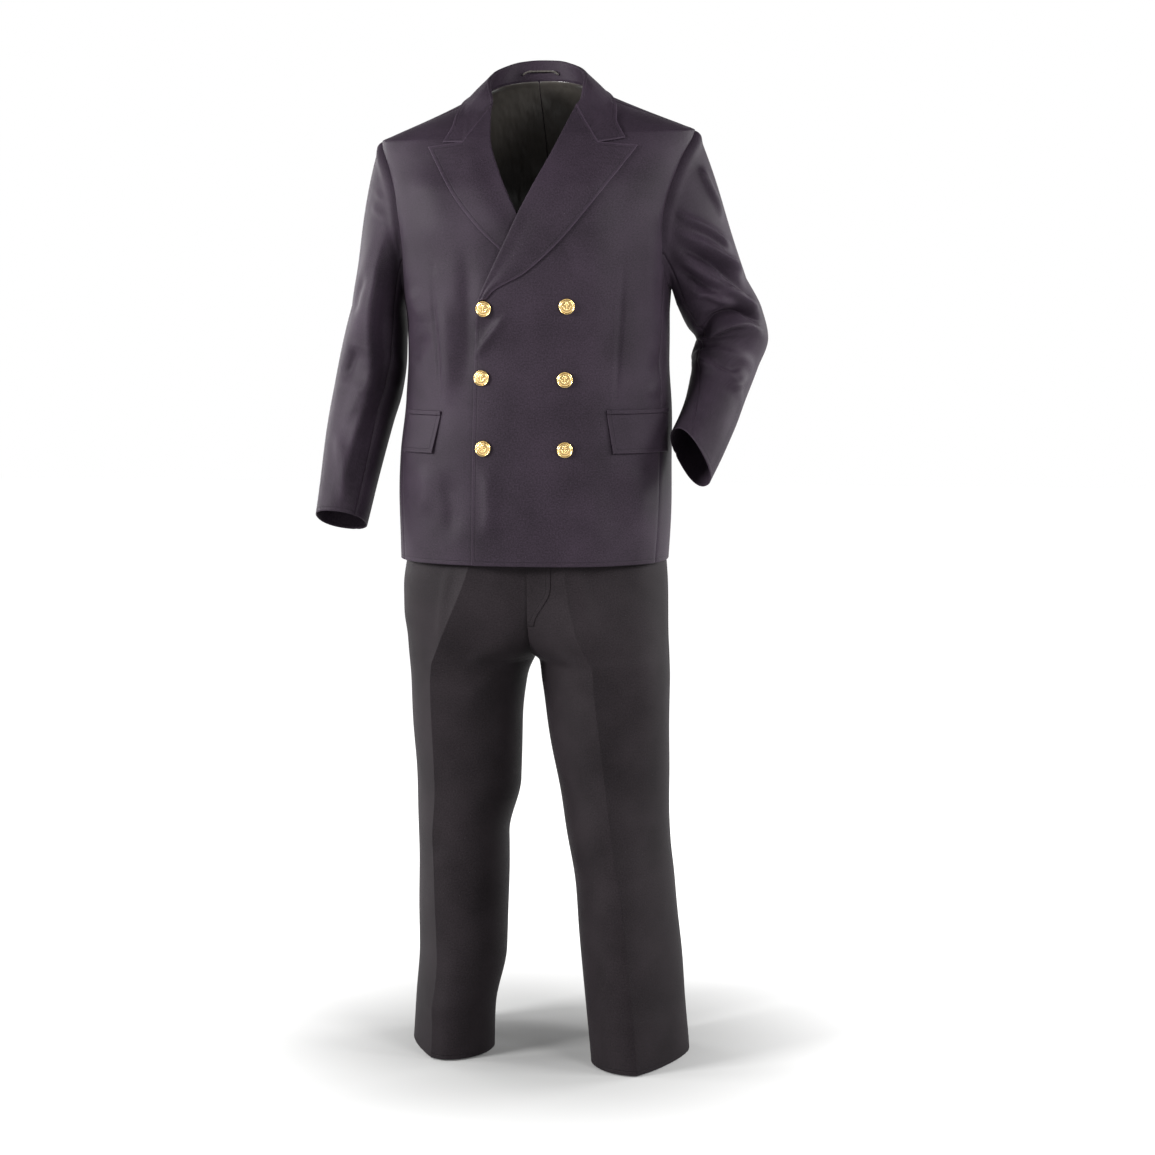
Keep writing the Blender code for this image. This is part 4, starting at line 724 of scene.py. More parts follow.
class Finish:
    """A material made one node at a time. Numbers that stay the same are set on the shader."""

    def __init__(self, name, fixed):
        self.material = bpy.data.materials.new(name)
        self.material.use_nodes = True
        self.tree = self.material.node_tree
        self.shader = self.tree.nodes["Principled BSDF"]
        for socket, value in fixed.items():
            self.shader.inputs[socket].default_value = value

    def node(self, kind, settings, inputs, output=0):
        """Any node: its settings first, then a value or a wire for each input."""
        node = self.tree.nodes.new("ShaderNode" + kind)
        for name, value in settings.items():
            setattr(node, name, value)
        for name, value in inputs.items():
            if isinstance(value, Wire):
                self.tree.links.new(value.socket, node.inputs[name])
            else:
                node.inputs[name].default_value = value
        return Wire(self, node.outputs[output])

    def maths(self, operation, *values):
        return self.node("Math", {"operation": operation}, dict(enumerate(values)))

    def sine(self, value):
        return self.maths("SINE", value)

    def bump_curve(self, value, middle, width):
        """exp(-((value - middle)/width)^2), a soft ridge along a line."""
        return self.maths("EXPONENT", self.maths("MULTIPLY", ((value - middle) / width) ** 2.0, -1.0))

    def step(self, value, start, end):
        """0 before start and 1 after end, smooth between."""
        return self.node("MapRange", {"interpolation_type": "SMOOTHSTEP"}, {0: value, 1: start, 2: end})

    def noise(self, place, scale, detail=2.0):
        return self.node("TexNoise", {}, {"Vector": place, "Scale": scale, "Detail": detail})

    def blend(self, factor, first, second):
        """Colour between two colours, by a wire from 0 to 1."""
        return self.node("Mix", {"data_type": "RGBA"}, {0: factor, 6: first, 7: second}, 2)

    def feed(self, socket, wire):
        self.tree.links.new(wire.socket, self.shader.inputs[socket])

    def relief(self, height):
        """Turn a height in metres into the shader's normal."""
        self.feed("Normal", self.node("Bump", {}, {"Strength": 1.0, "Distance": 1.0, "Height": height}))


def shade(colour, factor):
    """A colour made lighter or darker by a factor, with its alpha."""
    return (*(factor * part for part in colour), 1.0)


print("a finish feeds its shader by name, for instance Base Color")

# %% [markdown]
# ## Navy and black twill
# Uniform cloth is a worsted twill: each thread steps one to the side in every row, which raises
# fine ribs on a slant. The ribs are sine waves across the cloth's own lengths, under the hair of
# the wool and the mixed shades of its fibres. Edges are stitched 6 mm in and pressed, which leaves
# a groove of small stitches, darkened here as painted shade, and a painted highlight along the
# edge where the pressed cloth catches light, so both follow the distance to the edge.

# %% Twill
RIB = 0.0011            # from one rib of the twill to the next
STITCH_IN = 0.0058      # row of stitches, from the finished edge
STITCH = 0.0031         # length of one stitch
PINK = (1.0, 0.86, 1.0, 1.0)      # the wool's hair scatters a little less green


def twill(name, colour, sheen, edge_highlight_strength, shine=0.09):
    """Height rib*sin(2*pi*(u + v)/RIB) + hair + groove, colour by three sizes of noise, with
    painted shade in the stitch groove and a painted highlight along the edge.
    """
    cloth_finish = Finish(name, {"Sheen Weight": sheen, "Sheen Roughness": 0.30,
                                 "Sheen Tint": PINK, "Specular IOR Level": shine})
    weave = cloth_finish.node("UVMap", {"uv_map": "cloth"}, {})
    across = cloth_finish.node("SeparateXYZ", {}, {0: weave}, 0)
    up = cloth_finish.node("SeparateXYZ", {}, {0: weave}, 1)
    edge = cloth_finish.node("Attribute", {"attribute_name": "edge"}, {}, 2)
    place = cloth_finish.node("TexCoord", {}, {}, 3)
    slant = across * 0.8 + up
    rib = cloth_finish.sine(slant * (2 * np.pi / RIB)) * 0.5 + 0.5
    hair = cloth_finish.noise(weave, 1900.0, 3.0)
    heather = cloth_finish.noise(weave, 420.0, 2.0)
    cloud = cloth_finish.noise(place, 11.0, 3.0)
    groove = cloth_finish.bump_curve(edge, STITCH_IN, 0.0007)
    stitch = cloth_finish.sine(slant * (2 * np.pi / STITCH)) * 0.5 + 0.5
    # Painted highlight: a light line along the edge, where pressed cloth catches light.
    edge_highlight = cloth_finish.bump_curve(edge, 0.0, 0.0016)
    tone = rib * 0.22 + heather * 0.9 + hair * 0.5 + cloud * 0.7 - 0.66
    mixed = cloth_finish.step(tone, 0.0, 1.0)
    dyed = cloth_finish.blend(mixed, shade(colour, 0.35), shade(colour, 1.75))
    lint = cloth_finish.step(cloth_finish.noise(place, 900.0, 1.0), 0.78, 0.82)
    dyed = cloth_finish.blend(lint * 0.25, dyed, shade((0.25, 0.24, 0.26), 1.0))
    # Lighter colour towards the edge: painted highlight.
    dyed = cloth_finish.blend(edge_highlight * edge_highlight_strength, dyed, shade(colour, 2.2))
    # Painted shade: the stitch groove's colour is darkened, as shade would fall in it.
    dyed = cloth_finish.blend(groove * 0.35, dyed, shade(colour, 0.35))
    cloth_finish.feed("Base Color", dyed)
    cloth_finish.feed("Roughness", 0.50 + heather * 0.22)
    height = rib * 0.00004 + hair * 0.00004 - groove * (0.00018 + stitch * 0.00016)
    cloth_finish.relief(height)
    return cloth_finish.material


NAVY = (0.0152, 0.0105, 0.0160)
BLACK = (0.0100, 0.0080, 0.0092)
# The fourth number is the strength of the painted edge highlight; lapels and collar take a stronger one.
jacket_twill = twill("navy_twill", NAVY, 0.02, 0.12)
lapel_twill = twill("navy_twill_edge_highlight", NAVY, 0.02, 0.55)
trouser_twill = twill("black_twill", BLACK, 0.015, 0.12, 0.05)
print("twill ribs every", RIB * 1000, "mm")

# %% [markdown]
# ## Satin and gilt
# The lining is satin: long floating threads reflect like a soft mirror, in folds that run down
# from the neck. The buttons are gilt brass. Their recesses keep a brown tone that polishing never
# reaches, and the raised parts are bright, so the finish follows the height of the relief.

# %% Satin and gilt finishes


def satin(name, colour):
    """Dark satin: soft folds as noise stretched down the body, and threads across them."""
    silk = Finish(name, {"Specular IOR Level": 0.5, "Sheen Weight": 0.15, "Sheen Roughness": 0.3})
    place = silk.node("TexCoord", {}, {}, 3)
    drawn = silk.node("VectorMath", {"operation": "MULTIPLY"}, {0: place, 1: (38.0, 38.0, 11.0)})
    folds = silk.noise(drawn, 1.0, 2.0)
    threads = silk.noise(place, 1500.0, 2.0)
    silk.feed("Base Color", silk.blend(threads, shade(colour, 0.7), shade(colour, 1.4)))
    silk.feed("Roughness", 0.33 + threads * 0.12)
    silk.relief(folds * 0.0045 + threads * 0.00002)
    return silk.material


def gilt(name):
    """Gilt brass: bright where the relief is high, brown in its recesses."""
    metal = Finish(name, {"Metallic": 1.0})
    place = metal.node("TexCoord", {}, {}, 3)
    high = metal.node("Attribute", {"attribute_name": "relief"}, {}, 2)
    cloud = metal.noise(place, 260.0, 3.0)
    scratches = metal.noise(place, 2600.0, 2.0)
    bright = metal.step(high + cloud * 0.3, 0.25, 0.75)
    metal.feed("Base Color", metal.blend(bright, (0.20, 0.115, 0.045, 1.0), (0.86, 0.63, 0.27, 1.0)))
    metal.feed("Roughness", 0.42 - bright * 0.2 + cloud * 0.08)
    metal.relief(scratches * 0.00001)
    return metal.material


lining_satin = satin("dark_satin", (0.047, 0.042, 0.037))
gilt_brass = gilt("gilt_brass_finish")
print("finishes:", jacket_twill.name, trouser_twill.name, lining_satin.name, gilt_brass.name)

# %% [markdown]
# ## The jacket's surface with its creases
# The worn jacket isn't a smooth form: darts take in the waist, the cloth drags from the button that
# holds it, and soft folds fall beside the armholes. Both fronts, the pieces that lie on them and
# the seams beside them read the same creases, so they stay together.

# %% Creases of the jacket
FRONT_CREASES = [
    Crease([(-0.147, -0.235), (-0.142, -0.330), (-0.135, -0.400), (-0.132, -0.475)], 0.0034, -0.0034, 0.0),
    Crease([(0.147, -0.238), (0.143, -0.325), (0.139, -0.400), (0.135, -0.475)], 0.0034, -0.0032, 0.0),
    Crease([(-0.0796, -0.3957), (-0.0643, -0.3717), (-0.0459, -0.3477), (-0.0184, -0.3149)],
           0.0065, 0.0050, -0.4),
    Crease([(-0.0764, -0.3597), (-0.0580, -0.3388), (-0.0427, -0.3208)], 0.0120, -0.0040, 0.0),
    Crease([(-0.2120, -0.1000), (-0.2000, -0.1800), (-0.1900, -0.2500), (-0.1850, -0.3400)],
           0.0130, 0.0055, 0.3),
    Crease([(-0.1600, -0.0900), (-0.1480, -0.1600), (-0.1350, -0.2500)], 0.0330, 0.0060, 0.0),
    Crease([(-0.1395, -0.2878), (-0.1244, -0.3406), (-0.1218, -0.4087), (-0.1253, -0.4772)],
           0.0150, 0.0058, 0.0),
    Crease([(-0.0940, -0.2059), (-0.0884, -0.2879), (-0.0888, -0.3629), (-0.0939, -0.4534)],
           0.0140, -0.0058, 0.0),
    Crease([(-0.1906, -0.3973), (-0.1749, -0.3789), (-0.1498, -0.3514)], 0.0120, -0.0065, 0.0),
    Crease([(-0.1834, -0.2800), (-0.1744, -0.3104), (-0.1560, -0.3423)], 0.0120, 0.0050, 0.2),
    Crease([(0.2190, -0.1300), (0.2130, -0.2100), (0.2100, -0.2730), (0.2000, -0.3480)],
           0.0110, -0.0046, -0.2),
    Crease([(0.1930, -0.1500), (0.1860, -0.2300), (0.1850, -0.3200), (0.1880, -0.4000)],
           0.0140, 0.0036, 0.2),
    Crease([(0.2137, -0.3359), (0.2093, -0.3660), (0.2003, -0.3961), (0.1852, -0.4203)],
           0.0100, -0.0070, 0.0),
    Crease([(0.2090, -0.4080), (0.1950, -0.4330), (0.1780, -0.4480)], 0.0090, 0.0034, 0.2),
    Crease([(-0.1480, -0.2450), (-0.1440, -0.2560), (-0.1420, -0.2660)], 0.0040, -0.0008, 0.0),
    Crease([(-0.1333, -0.5576), (-0.1196, -0.5941), (-0.1152, -0.6294), (-0.1249, -0.6802)],
           0.0150, -0.0056, 0.0),
    Crease([(-0.0682, -0.5465), (-0.0561, -0.5889), (-0.0547, -0.6269), (-0.0657, -0.6728)],
           0.0130, 0.0048, 0.2),
    Crease([(-0.1693, -0.5493), (-0.1603, -0.5923), (-0.1638, -0.6385)], 0.0130, 0.0036, 0.0),
    Crease([(0.1612, -0.5480), (0.1705, -0.5906), (0.1645, -0.6520)], 0.0150, 0.0034, 0.0),
    Crease([(0.1280, -0.5600), (0.1300, -0.6100), (0.1240, -0.6700)], 0.0170, -0.0028, 0.0),
]
BACK_CREASES = [
    Crease([(-0.1750, -0.1300), (-0.1500, -0.2000), (-0.1350, -0.2900)], 0.0170, 0.0038, 0.2),
    Crease([(0.1800, -0.1400), (0.1560, -0.2100), (0.1330, -0.3050)], 0.0160, 0.0034, -0.2),
    Crease([(-0.0300, -0.0150), (-0.0650, -0.0300), (-0.1100, -0.0500)], 0.0110, 0.0016, 0.0),
    Crease([(0.0250, -0.0120), (0.0600, -0.0260), (0.1050, -0.0480)], 0.0120, 0.0018, 0.0),
    Crease([(-0.1900, -0.3900), (-0.1300, -0.4150), (-0.0600, -0.4200)], 0.0120, 0.0026, 0.2),
    Crease([(0.1850, -0.3800), (0.1200, -0.4080), (0.0500, -0.4130)], 0.0110, 0.0028, 0.2),
    Crease([(0.1700, -0.4450), (0.1150, -0.4560), (0.0700, -0.4540)], 0.0100, 0.0018, 0.0),
    Crease([(-0.0900, -0.5000), (-0.1000, -0.6000), (-0.1080, -0.6950)], 0.0190, 0.0026, 0.0),
    Crease([(0.1000, -0.5200), (0.1120, -0.6100), (0.1180, -0.6950)], 0.0180, 0.0024, 0.0),
]
FACES = (0.12, 0.60)    # how far a place looks to the front where creases begin and are full
CREASES_STOP = (-0.075, -0.030)   # heights over which they run out below the shoulder seam


def facing(normal, way):
    """How much of the surface looks to the front (-1) or the back (+1), eased at the sides."""
    return ease(way * normal[..., 1], *FACES)


def jacket(angle, level, out=0.0):
    """Point of the jacket's cloth and its normal: the form, its creases and its slow unevenness."""
    normal = body_normal(angle, level)
    plain = body_ring(angle, level)
    height = wander(plain, 0.7)
    height += crease_relief(plain, FRONT_CREASES) * facing(normal, -1)
    height += crease_relief(plain, BACK_CREASES) * facing(normal, 1)
    height *= 1 - ease(plain[..., 2], *CREASES_STOP)
    return plain + normal * (height + np.asarray(out, float))[..., None], normal


print(len(FRONT_CREASES), "creases in front and", len(BACK_CREASES), "behind")

# %% [markdown]
# ## Fronts and backs
# Each front runs from its edge and break line to the side seam, armhole and shoulder seam, and each
# back from the centre seam to the same places. The left front laps over the right one and lies
# higher there. A grid between the two long edges is the simplest surface that meets them all.

# %% Fronts
SHEET = 0.0017          # thickness of the twill with its backing
UP = shares(181)        # rows of a front or back, from the hem to the shoulder
WIDE = shares(97)       # and its columns, from the edge or centre seam to the side


def front_grid(side):
    """Grid of one front, in angle and level, between its edge and its seams."""
    sides = np.concatenate([side_seam("front", side), arm_side("front", side)[1:]])
    return between(resampled(front_edge_rows(side), UP), resampled(sides, UP), WIDE)


for side in (1, -1):
    grid = front_grid(side)
    out = rise_at(body(grid[..., 0], grid[..., 1])) if side > 0 else 0.0
    outer, normal = jacket(grid[..., 0], grid[..., 1], out)
    cloth("front_" + side_name(side), outer, outer - normal * SHEET, jacket_twill,
          seams=("last", "top"), hems=("bottom", "first"))
print(made[-2:])

# %% Backs and their lining
LIE = 0.0006            # space under a piece that lies on a panel
LINING = 0.0010         # thickness of the satin with its padding
LINING_FROM = 0.44      # share of the back's height below which the neck shows no lining
LINING_TUCK = 0.0008    # how far its edge is turned back, under the collar's stand


def back_grid(side):
    """Grid of one back, in angle and level, between the centre seam and its other seams."""
    sides = np.concatenate([side_seam("back", side), arm_side("back", side)[1:]])
    return between(resampled(back_edge_rows(side), UP), resampled(sides, UP), WIDE)


for side in (1, -1):
    grid = back_grid(side)
    outer, normal = jacket(grid[..., 0], grid[..., 1])
    cloth("back_" + side_name(side), outer, outer - normal * SHEET, jacket_twill,
          seams=("first", "last", "top"), hems=("bottom",))
    low = int(len(UP) * LINING_FROM)
    to_seam = np.linalg.norm(outer[low:, 1] - outer[low:, 0], axis=-1) - SEAM_SPACE
    inner = (outer - normal * (SHEET + LIE))[low:, 1:-1]
    inner[:, 0] += unit(inner[:, 0] - inner[:, 1]) * to_seam[:, None]
    inner[:, 0] += normal[low:, 1] * LINING_TUCK
    cloth("lining_back_" + side_name(side), inner, inner - normal[low:, 1:-1] * LINING,
          lining_satin, seams=("last",))
print(made[-4:])

# %% Side panels under the arms


def side_grid(side):
    """Grid of the panel under the arm. Its rows bend to the armhole's bottom as up^4."""
    up, across = shares(61), shares(25)
    top = resampled(hole_bottom(side), across)
    front, back = (resampled(side_seam(face, side), up) for face in ("front", "back"))
    straight = (1 - across[:, None]) * top[0] + across[:, None] * top[-1]
    return between(front, back, across) + up[:, None, None] ** 4 * (top - straight)[None]


for side in (1, -1):
    grid = side_grid(side)
    outer, normal = jacket(grid[..., 0], grid[..., 1])
    cloth("side_" + side_name(side), outer, outer - normal * SHEET, jacket_twill,
          seams=("first", "last", "top"), hems=("bottom",))
print(made[-2:])

# %% [markdown]
# ## Lapels
# A lapel is the front's own top, folded back at the break line. The fold is rolled, not pressed
# flat, and the lapel rests on the chest near its outer edge and stands off it in the middle. Its
# path across is a half circle at the fold and then a line that comes down to the chest.

# %% Lapels
TURNS = np.linspace(0, 180, 13)
FALL = np.unique(np.concatenate([shares(35), [NOTCH_SHARE - 0.004, NOTCH_SHARE, NOTCH_SHARE + 0.004]]))
BELLY = 0.0020          # how far the lapel's middle stands off


def turned(start, along, out, roll, sheet, beta):
    """Point of a fold: a circle of radius roll + sheet through beta degrees."""
    radius, angle = roll + sheet, np.radians(beta)
    return start + out * roll - out * radius * np.cos(angle) + along * radius * np.sin(angle)


def space_under(share, roll):
    """Space under the cloth: the roll's width at the fold, lying on the chest further out."""
    settled = LAPEL_LIE + (2 * roll - LAPEL_LIE) * (1 - ease(share, 0.0, SETTLE_SHARE))
    return settled + BELLY * np.sin(np.pi * share) ** 2


def lapel_plan(side):
    """Points (x, z) of the lapel as seen from the front, rows up the fold, columns outwards."""
    up = shares(97)
    z = BREAK + (BREAK_LINE[side][-1].z - BREAK) * up
    fold = np.stack([columns_of(BREAK_LINE[side], "z")["x"](z), z], -1)
    low, high = LAPEL_EDGE[side][0].z, LAPEL_EDGE[side][-1].z
    z_edge = low + (high - low) * up
    edge = np.stack([columns_of(LAPEL_EDGE[side], "z")["x"](z_edge), z_edge], -1)
    notch = NOTCH[side]
    top = np.stack([np.interp(FALL, (0, NOTCH_SHARE, 1), ends)
                    for ends in zip(fold[-1], notch, edge[-1])], -1)
    straight = (1 - FALL[:, None]) * fold[-1] + FALL[:, None] * edge[-1]
    return between(fold, edge, FALL) + up[:, None, None] ** 3 * (top - straight)[None]


def lapel_faces(side):
    """Both faces of a lapel, its fold first."""
    plan = lapel_plan(side)
    angle, level = on_front(side * plan[..., 0], plan[..., 1])
    base = rise_at(body(angle, level)) if side > 0 else 0.0
    surface, normal = jacket(angle, level, base)
    roll = LAPEL_ROLL[side]
    under = surface + normal * space_under(FALL, roll)[None, :, None]
    away, out = unit(surface[:, 0] - surface[:, 1])[:, None], normal[:, :1]
    start, beta = surface[:, :1], TURNS[None, :, None]
    outer = np.concatenate([turned(start, away, out, roll, SHEET, beta), (under + normal * SHEET)[:, 1:]], 1)
    inner = np.concatenate([turned(start, away, out, roll, 0.0, beta), under[:, 1:]], 1)
    return outer, inner


for side in (1, -1):
    outer, inner = lapel_faces(side)
    cloth("lapel_" + side_name(side), outer, inner, lapel_twill, hems=("last", "top", "bottom"))
print(made[-2:])

# %% [markdown]
# ## Collar
# The collar is one strip: a stand that rises from the neck seam, a roll, and a fall that covers the
# seam and ends in the gorge beside each lapel. It is drawn as a profile, stand, half circle and
# fall, at places round the neck, and a smooth function carries the profile from one to the next.

# %% Collar
ROUND = np.concatenate([[0.0, 0.03, 0.09, 0.2, 0.32], np.linspace(0.4, 6.0, 57)])


def neck_seam(side):
    """Both faces of the neck's edge, from the gorge to the centre back, by place 0 to 6."""
    front = front_edge_rows(side)[-2 * FINE - 1:]
    back = back_edge_rows(side)[-4 * FINE - 1:][::-1][1:]
    rows = np.concatenate([front, back])
    rise = np.where(np.arange(len(rows)) < 1, rise_at(body(rows[:, 0], rows[:, 1])) * (side > 0), 0.0)
    outer, normal = jacket(rows[:, 0], rows[:, 1], rise)
    return outer, outer - normal * SHEET, rows


def collar_profile(foot, fold, away, outward, roll, under, over):
    """Stand, roll and fall of one place: both faces from the seam to the outer edge."""
    rise = np.linspace(0, 1, 9)[:-1, None]
    beta = TURNS[:-1, None]
    near = [foot[0] * (1 - rise) + fold * rise, turned(fold, away, outward, roll, 0.0, beta), under]
    top = fold - outward * SHEET
    far = [foot[1] * (1 - rise) + top * rise, turned(fold, away, outward, roll, SHEET, beta), over]
    return np.concatenate(near), np.concatenate(far)


def collar_half(side):
    """Profiles of one half of the collar, from the gorge to the centre back."""
    seam_out, seam_in, rows = neck_seam(side)
    share = FALL[:, None]
    ends = zip((BREAK_LINE[side][-1].x, BREAK_LINE[side][-1].z), NOTCH[side], COLLAR_POINT[side])
    x, z = (np.interp(FALL, (0, NOTCH_SHARE, 1), line) for line in ends)
    angle, level = on_front(side * x, z)
    rise = rise_at(body(angle, level)) if side > 0 else 0.0
    surface, normal = jacket(angle, level, rise)
    roll = LAPEL_ROLL[side]
    under = surface + normal * space_under(share, roll)
    away = unit(surface[0] - surface[1])
    foot = (surface[0], surface[0] - normal[0] * SHEET)
    profiles = [collar_profile(foot, surface[0] + away * 0.001, away, normal[0], roll,
                               under, under + normal * SHEET)]
    for station in COLLAR:
        at = station.place * FINE
        foot = [np.array([np.interp(at, np.arange(len(line)), line[:, k]) for k in range(3)])
                for line in (seam_out, seam_in)]
        start = np.array([np.interp(at, np.arange(len(rows)), rows[:, k]) for k in range(2)])
        edge = np.array([side_angle(np.radians(station.angle), side), station.level])
        path = (1 - share) * start + share * edge
        rest = body(path[:, 0], path[:, 1], LAPEL_LIE + (station.out - LAPEL_LIE) * FALL)
        fold = np.array([side * station.fold_x, station.fold_y, station.fold_z])
        fold[2] += BODY["lift"](NECK) * fold[0]
        fold[0] += BODY["turn"](NECK) * fold[1]
        rising = unit(fold - foot[0])
        outward = rest[-1] - fold
        outward = unit(outward - rising * outward.dot(rising))
        hang = fold + outward * 2 * COLLAR_ROLL
        below = rest + (hang - rest[0]) * (1 - ease(share, 0.0, station.span))
        lift = unit(np.cross(np.gradient(below, axis=0), np.cross(rising, outward)))
        lift = np.where(lift @ outward[:, None] < 0, -lift, lift)
        above = below + lift * SHEET
        profiles.append(collar_profile(foot, fold, rising, outward, COLLAR_ROLL, below, above))
    return profiles


right, left = collar_half(-1), collar_half(1)[:-1][::-1]
places = [0.0] + [station.place for station in COLLAR]
places = places + [12 - place for place in places[:-1]][::-1]
strip = smooth(places, [np.stack(faces) for faces in right + left])
strip = strip(np.concatenate([ROUND, 12 - ROUND[:-1][::-1]]))
under, top = strip[:, 0].swapaxes(0, 1), strip[:, 1].swapaxes(0, 1)
cloth("collar", top, under, lapel_twill, hems=("first", "last", "top"))
print(made[-1])

# %% [markdown]
# ## Sleeves
# A sleeve is a tube in two parts, a top sleeve and an under sleeve, pitched forward as an arm
# hangs. Free rings follow the arm, and a bridge carries the armhole's line over to the first of
# them: a cubic that leaves the shoulder outwards and meets the ring along the arm. Folds gather
# inside the bent elbow, where the cloth is too long for the way it has to go.

# %% Sleeve creases
CAP_ROWS = 61
ARM_ROWS = 193
AROUND = 160
SLEEVE_SHARE = np.concatenate([np.linspace(0, 7, CAP_ROWS)[:-1], np.linspace(7, 19, ARM_ROWS)]) / 19
ARM_CREASES = {
    1: [
        Crease([(0.2534, -0.0987), (0.2565, -0.1108), (0.2673, -0.1349), (0.2843, -0.1651),
                (0.2890, -0.1847)],
               0.0052, 0.0090, 0.3),
        Crease([(0.2125, -0.1632), (0.2401, -0.1830), (0.2677, -0.1982), (0.2923, -0.2179),
                (0.3138, -0.2392)],
               0.0060, 0.0120, 0.3),
        Crease([(0.2143, -0.2001), (0.2517, -0.2150), (0.2909, -0.2421), (0.3241, -0.2648),
                (0.3454, -0.3028), (0.3545, -0.3395)], 0.0066, 0.0160, 0.35),
        Crease([(0.2113, -0.2122), (0.2411, -0.2286), (0.2772, -0.2482), (0.3074, -0.2723),
                (0.3316, -0.2982), (0.3483, -0.3288)], 0.0068, -0.0135, 0.0),
        Crease([(0.2114, -0.2303), (0.2520, -0.2558), (0.2912, -0.2831), (0.3183, -0.2997),
                (0.3425, -0.3226), (0.3561, -0.3456)], 0.0072, 0.0130, 0.1),
        Crease([(0.2107, -0.2542), (0.2413, -0.2679), (0.2659, -0.2831), (0.2904, -0.2968)],
               0.0076, -0.0115, 0.0),
        Crease([(0.2438, -0.2967), (0.2653, -0.2937), (0.2867, -0.3013), (0.3113, -0.3074)],
               0.0068, 0.0100, 0.2),
        Crease([(0.2480, -0.3636), (0.2583, -0.3484), (0.2747, -0.3332), (0.2958, -0.3256),
                (0.3185, -0.3226), (0.3398, -0.3317), (0.3597, -0.3531)], 0.0076, -0.0225, 0.2),
        Crease([(0.2481, -0.3789), (0.2614, -0.3637), (0.2777, -0.3470), (0.3049, -0.3363),
                (0.3322, -0.3394), (0.3598, -0.3669)], 0.0066, 0.0100, -0.2),
        Crease([(0.2665, -0.3880), (0.2881, -0.4031), (0.3065, -0.4077), (0.3308, -0.3954)],
               0.0066, -0.0054, 0.2),
        Crease([(0.2960, -0.4367), (0.3158, -0.4320), (0.3371, -0.4182)], 0.0085, 0.0051, 0.2),
        Crease([(0.2527, -0.3788), (0.2605, -0.3971), (0.2820, -0.4123)], 0.0076, 0.0051, 0.0),
    ],
    -1: [
        Crease([(-0.2037, -0.1673), (-0.2327, -0.2288), (-0.2444, -0.2873), (-0.2514, -0.3412),
                (-0.2537, -0.4105), (-0.2721, -0.4956), (-0.2904, -0.5730), (-0.2975, -0.6427)],
               0.0185, 0.0138, -0.25),
        Crease([(-0.2237, -0.2000), (-0.2327, -0.2288), (-0.2444, -0.2873), (-0.2514, -0.3412),
                (-0.2537, -0.4105), (-0.2721, -0.4956), (-0.2904, -0.5730), (-0.2975, -0.6427)],
               0.0052, 0.0045, -0.30),
        Crease([(-0.2137, -0.2200), (-0.2250, -0.2873), (-0.2330, -0.3412), (-0.2360, -0.4105),
                (-0.2530, -0.4956), (-0.2710, -0.5730)], 0.0110, -0.0060, 0.0),
        Crease([(-0.2529, -0.2534), (-0.2691, -0.2949), (-0.2807, -0.3336)], 0.0100, -0.0060, 0.0),
        Crease([(-0.2646, -0.3721), (-0.2839, -0.3985), (-0.2986, -0.4342)], 0.0110, -0.0075, 0.2),
        Crease([(-0.2599, -0.4229), (-0.2761, -0.4570), (-0.2940, -0.5038)], 0.0100, 0.0050, 0.0),
        Crease([(-0.2538, -0.1334), (-0.2350, -0.1472), (-0.2162, -0.1581)], 0.0060, 0.0016, 0.2),
        Crease([(-0.2560, -0.1550), (-0.2420, -0.1700), (-0.2240, -0.1790)], 0.0060, 0.0013, 0.2),
        Crease([(-0.3050, -0.5000), (-0.2950, -0.5600), (-0.2900, -0.6200)], 0.0110, 0.0060, 0.2),
    ],
}
ARM_BACK_CREASES = {
    1: [
        Crease([(0.2700, -0.3300), (0.3100, -0.3500), (0.3480, -0.3450)], 0.0110, 0.0036, 0.2),
        Crease([(0.2650, -0.3750), (0.3050, -0.3850), (0.3400, -0.3800)], 0.0110, 0.0030, 0.0),
        Crease([(0.2500, -0.1500), (0.2750, -0.2100), (0.2900, -0.2700)], 0.0150, 0.0030, 0.2),
    ],
    -1: [
        Crease([(-0.2350, -0.3900), (-0.2700, -0.4050), (-0.3050, -0.3980)], 0.0110, 0.0026, 0.2),
        Crease([(-0.2400, -0.1400), (-0.2600, -0.2100), (-0.2750, -0.2800)], 0.0150, 0.0030, -0.2),
        Crease([(-0.2500, -0.4500), (-0.2850, -0.4620), (-0.3150, -0.4560)], 0.0100, 0.0018, 0.0),
    ],
}
print(len(ARM_CREASES[1]), "creases lie across the bent sleeve")

# %% The sleeve as a grid
CREASE_FREE = (0.004, 0.035)      # distances from the armhole over which the creases come up
HEAD_ROLL = 0.0026      # how far the seam allowance inside lifts the sleeve's head
HEAD_ROLL_AT = 0.012    # how far from the armhole it is highest
HEAD_ROLL_WIDTH = 0.008


def hole_loop(side):
    """Angle and level all round the armhole, from the shoulder tip down the front and up the back."""
    front, back = arm_side("front", side)[::-1], arm_side("back", side)
    return np.concatenate([front, hole_bottom(side)[1:], back[1:-1]])


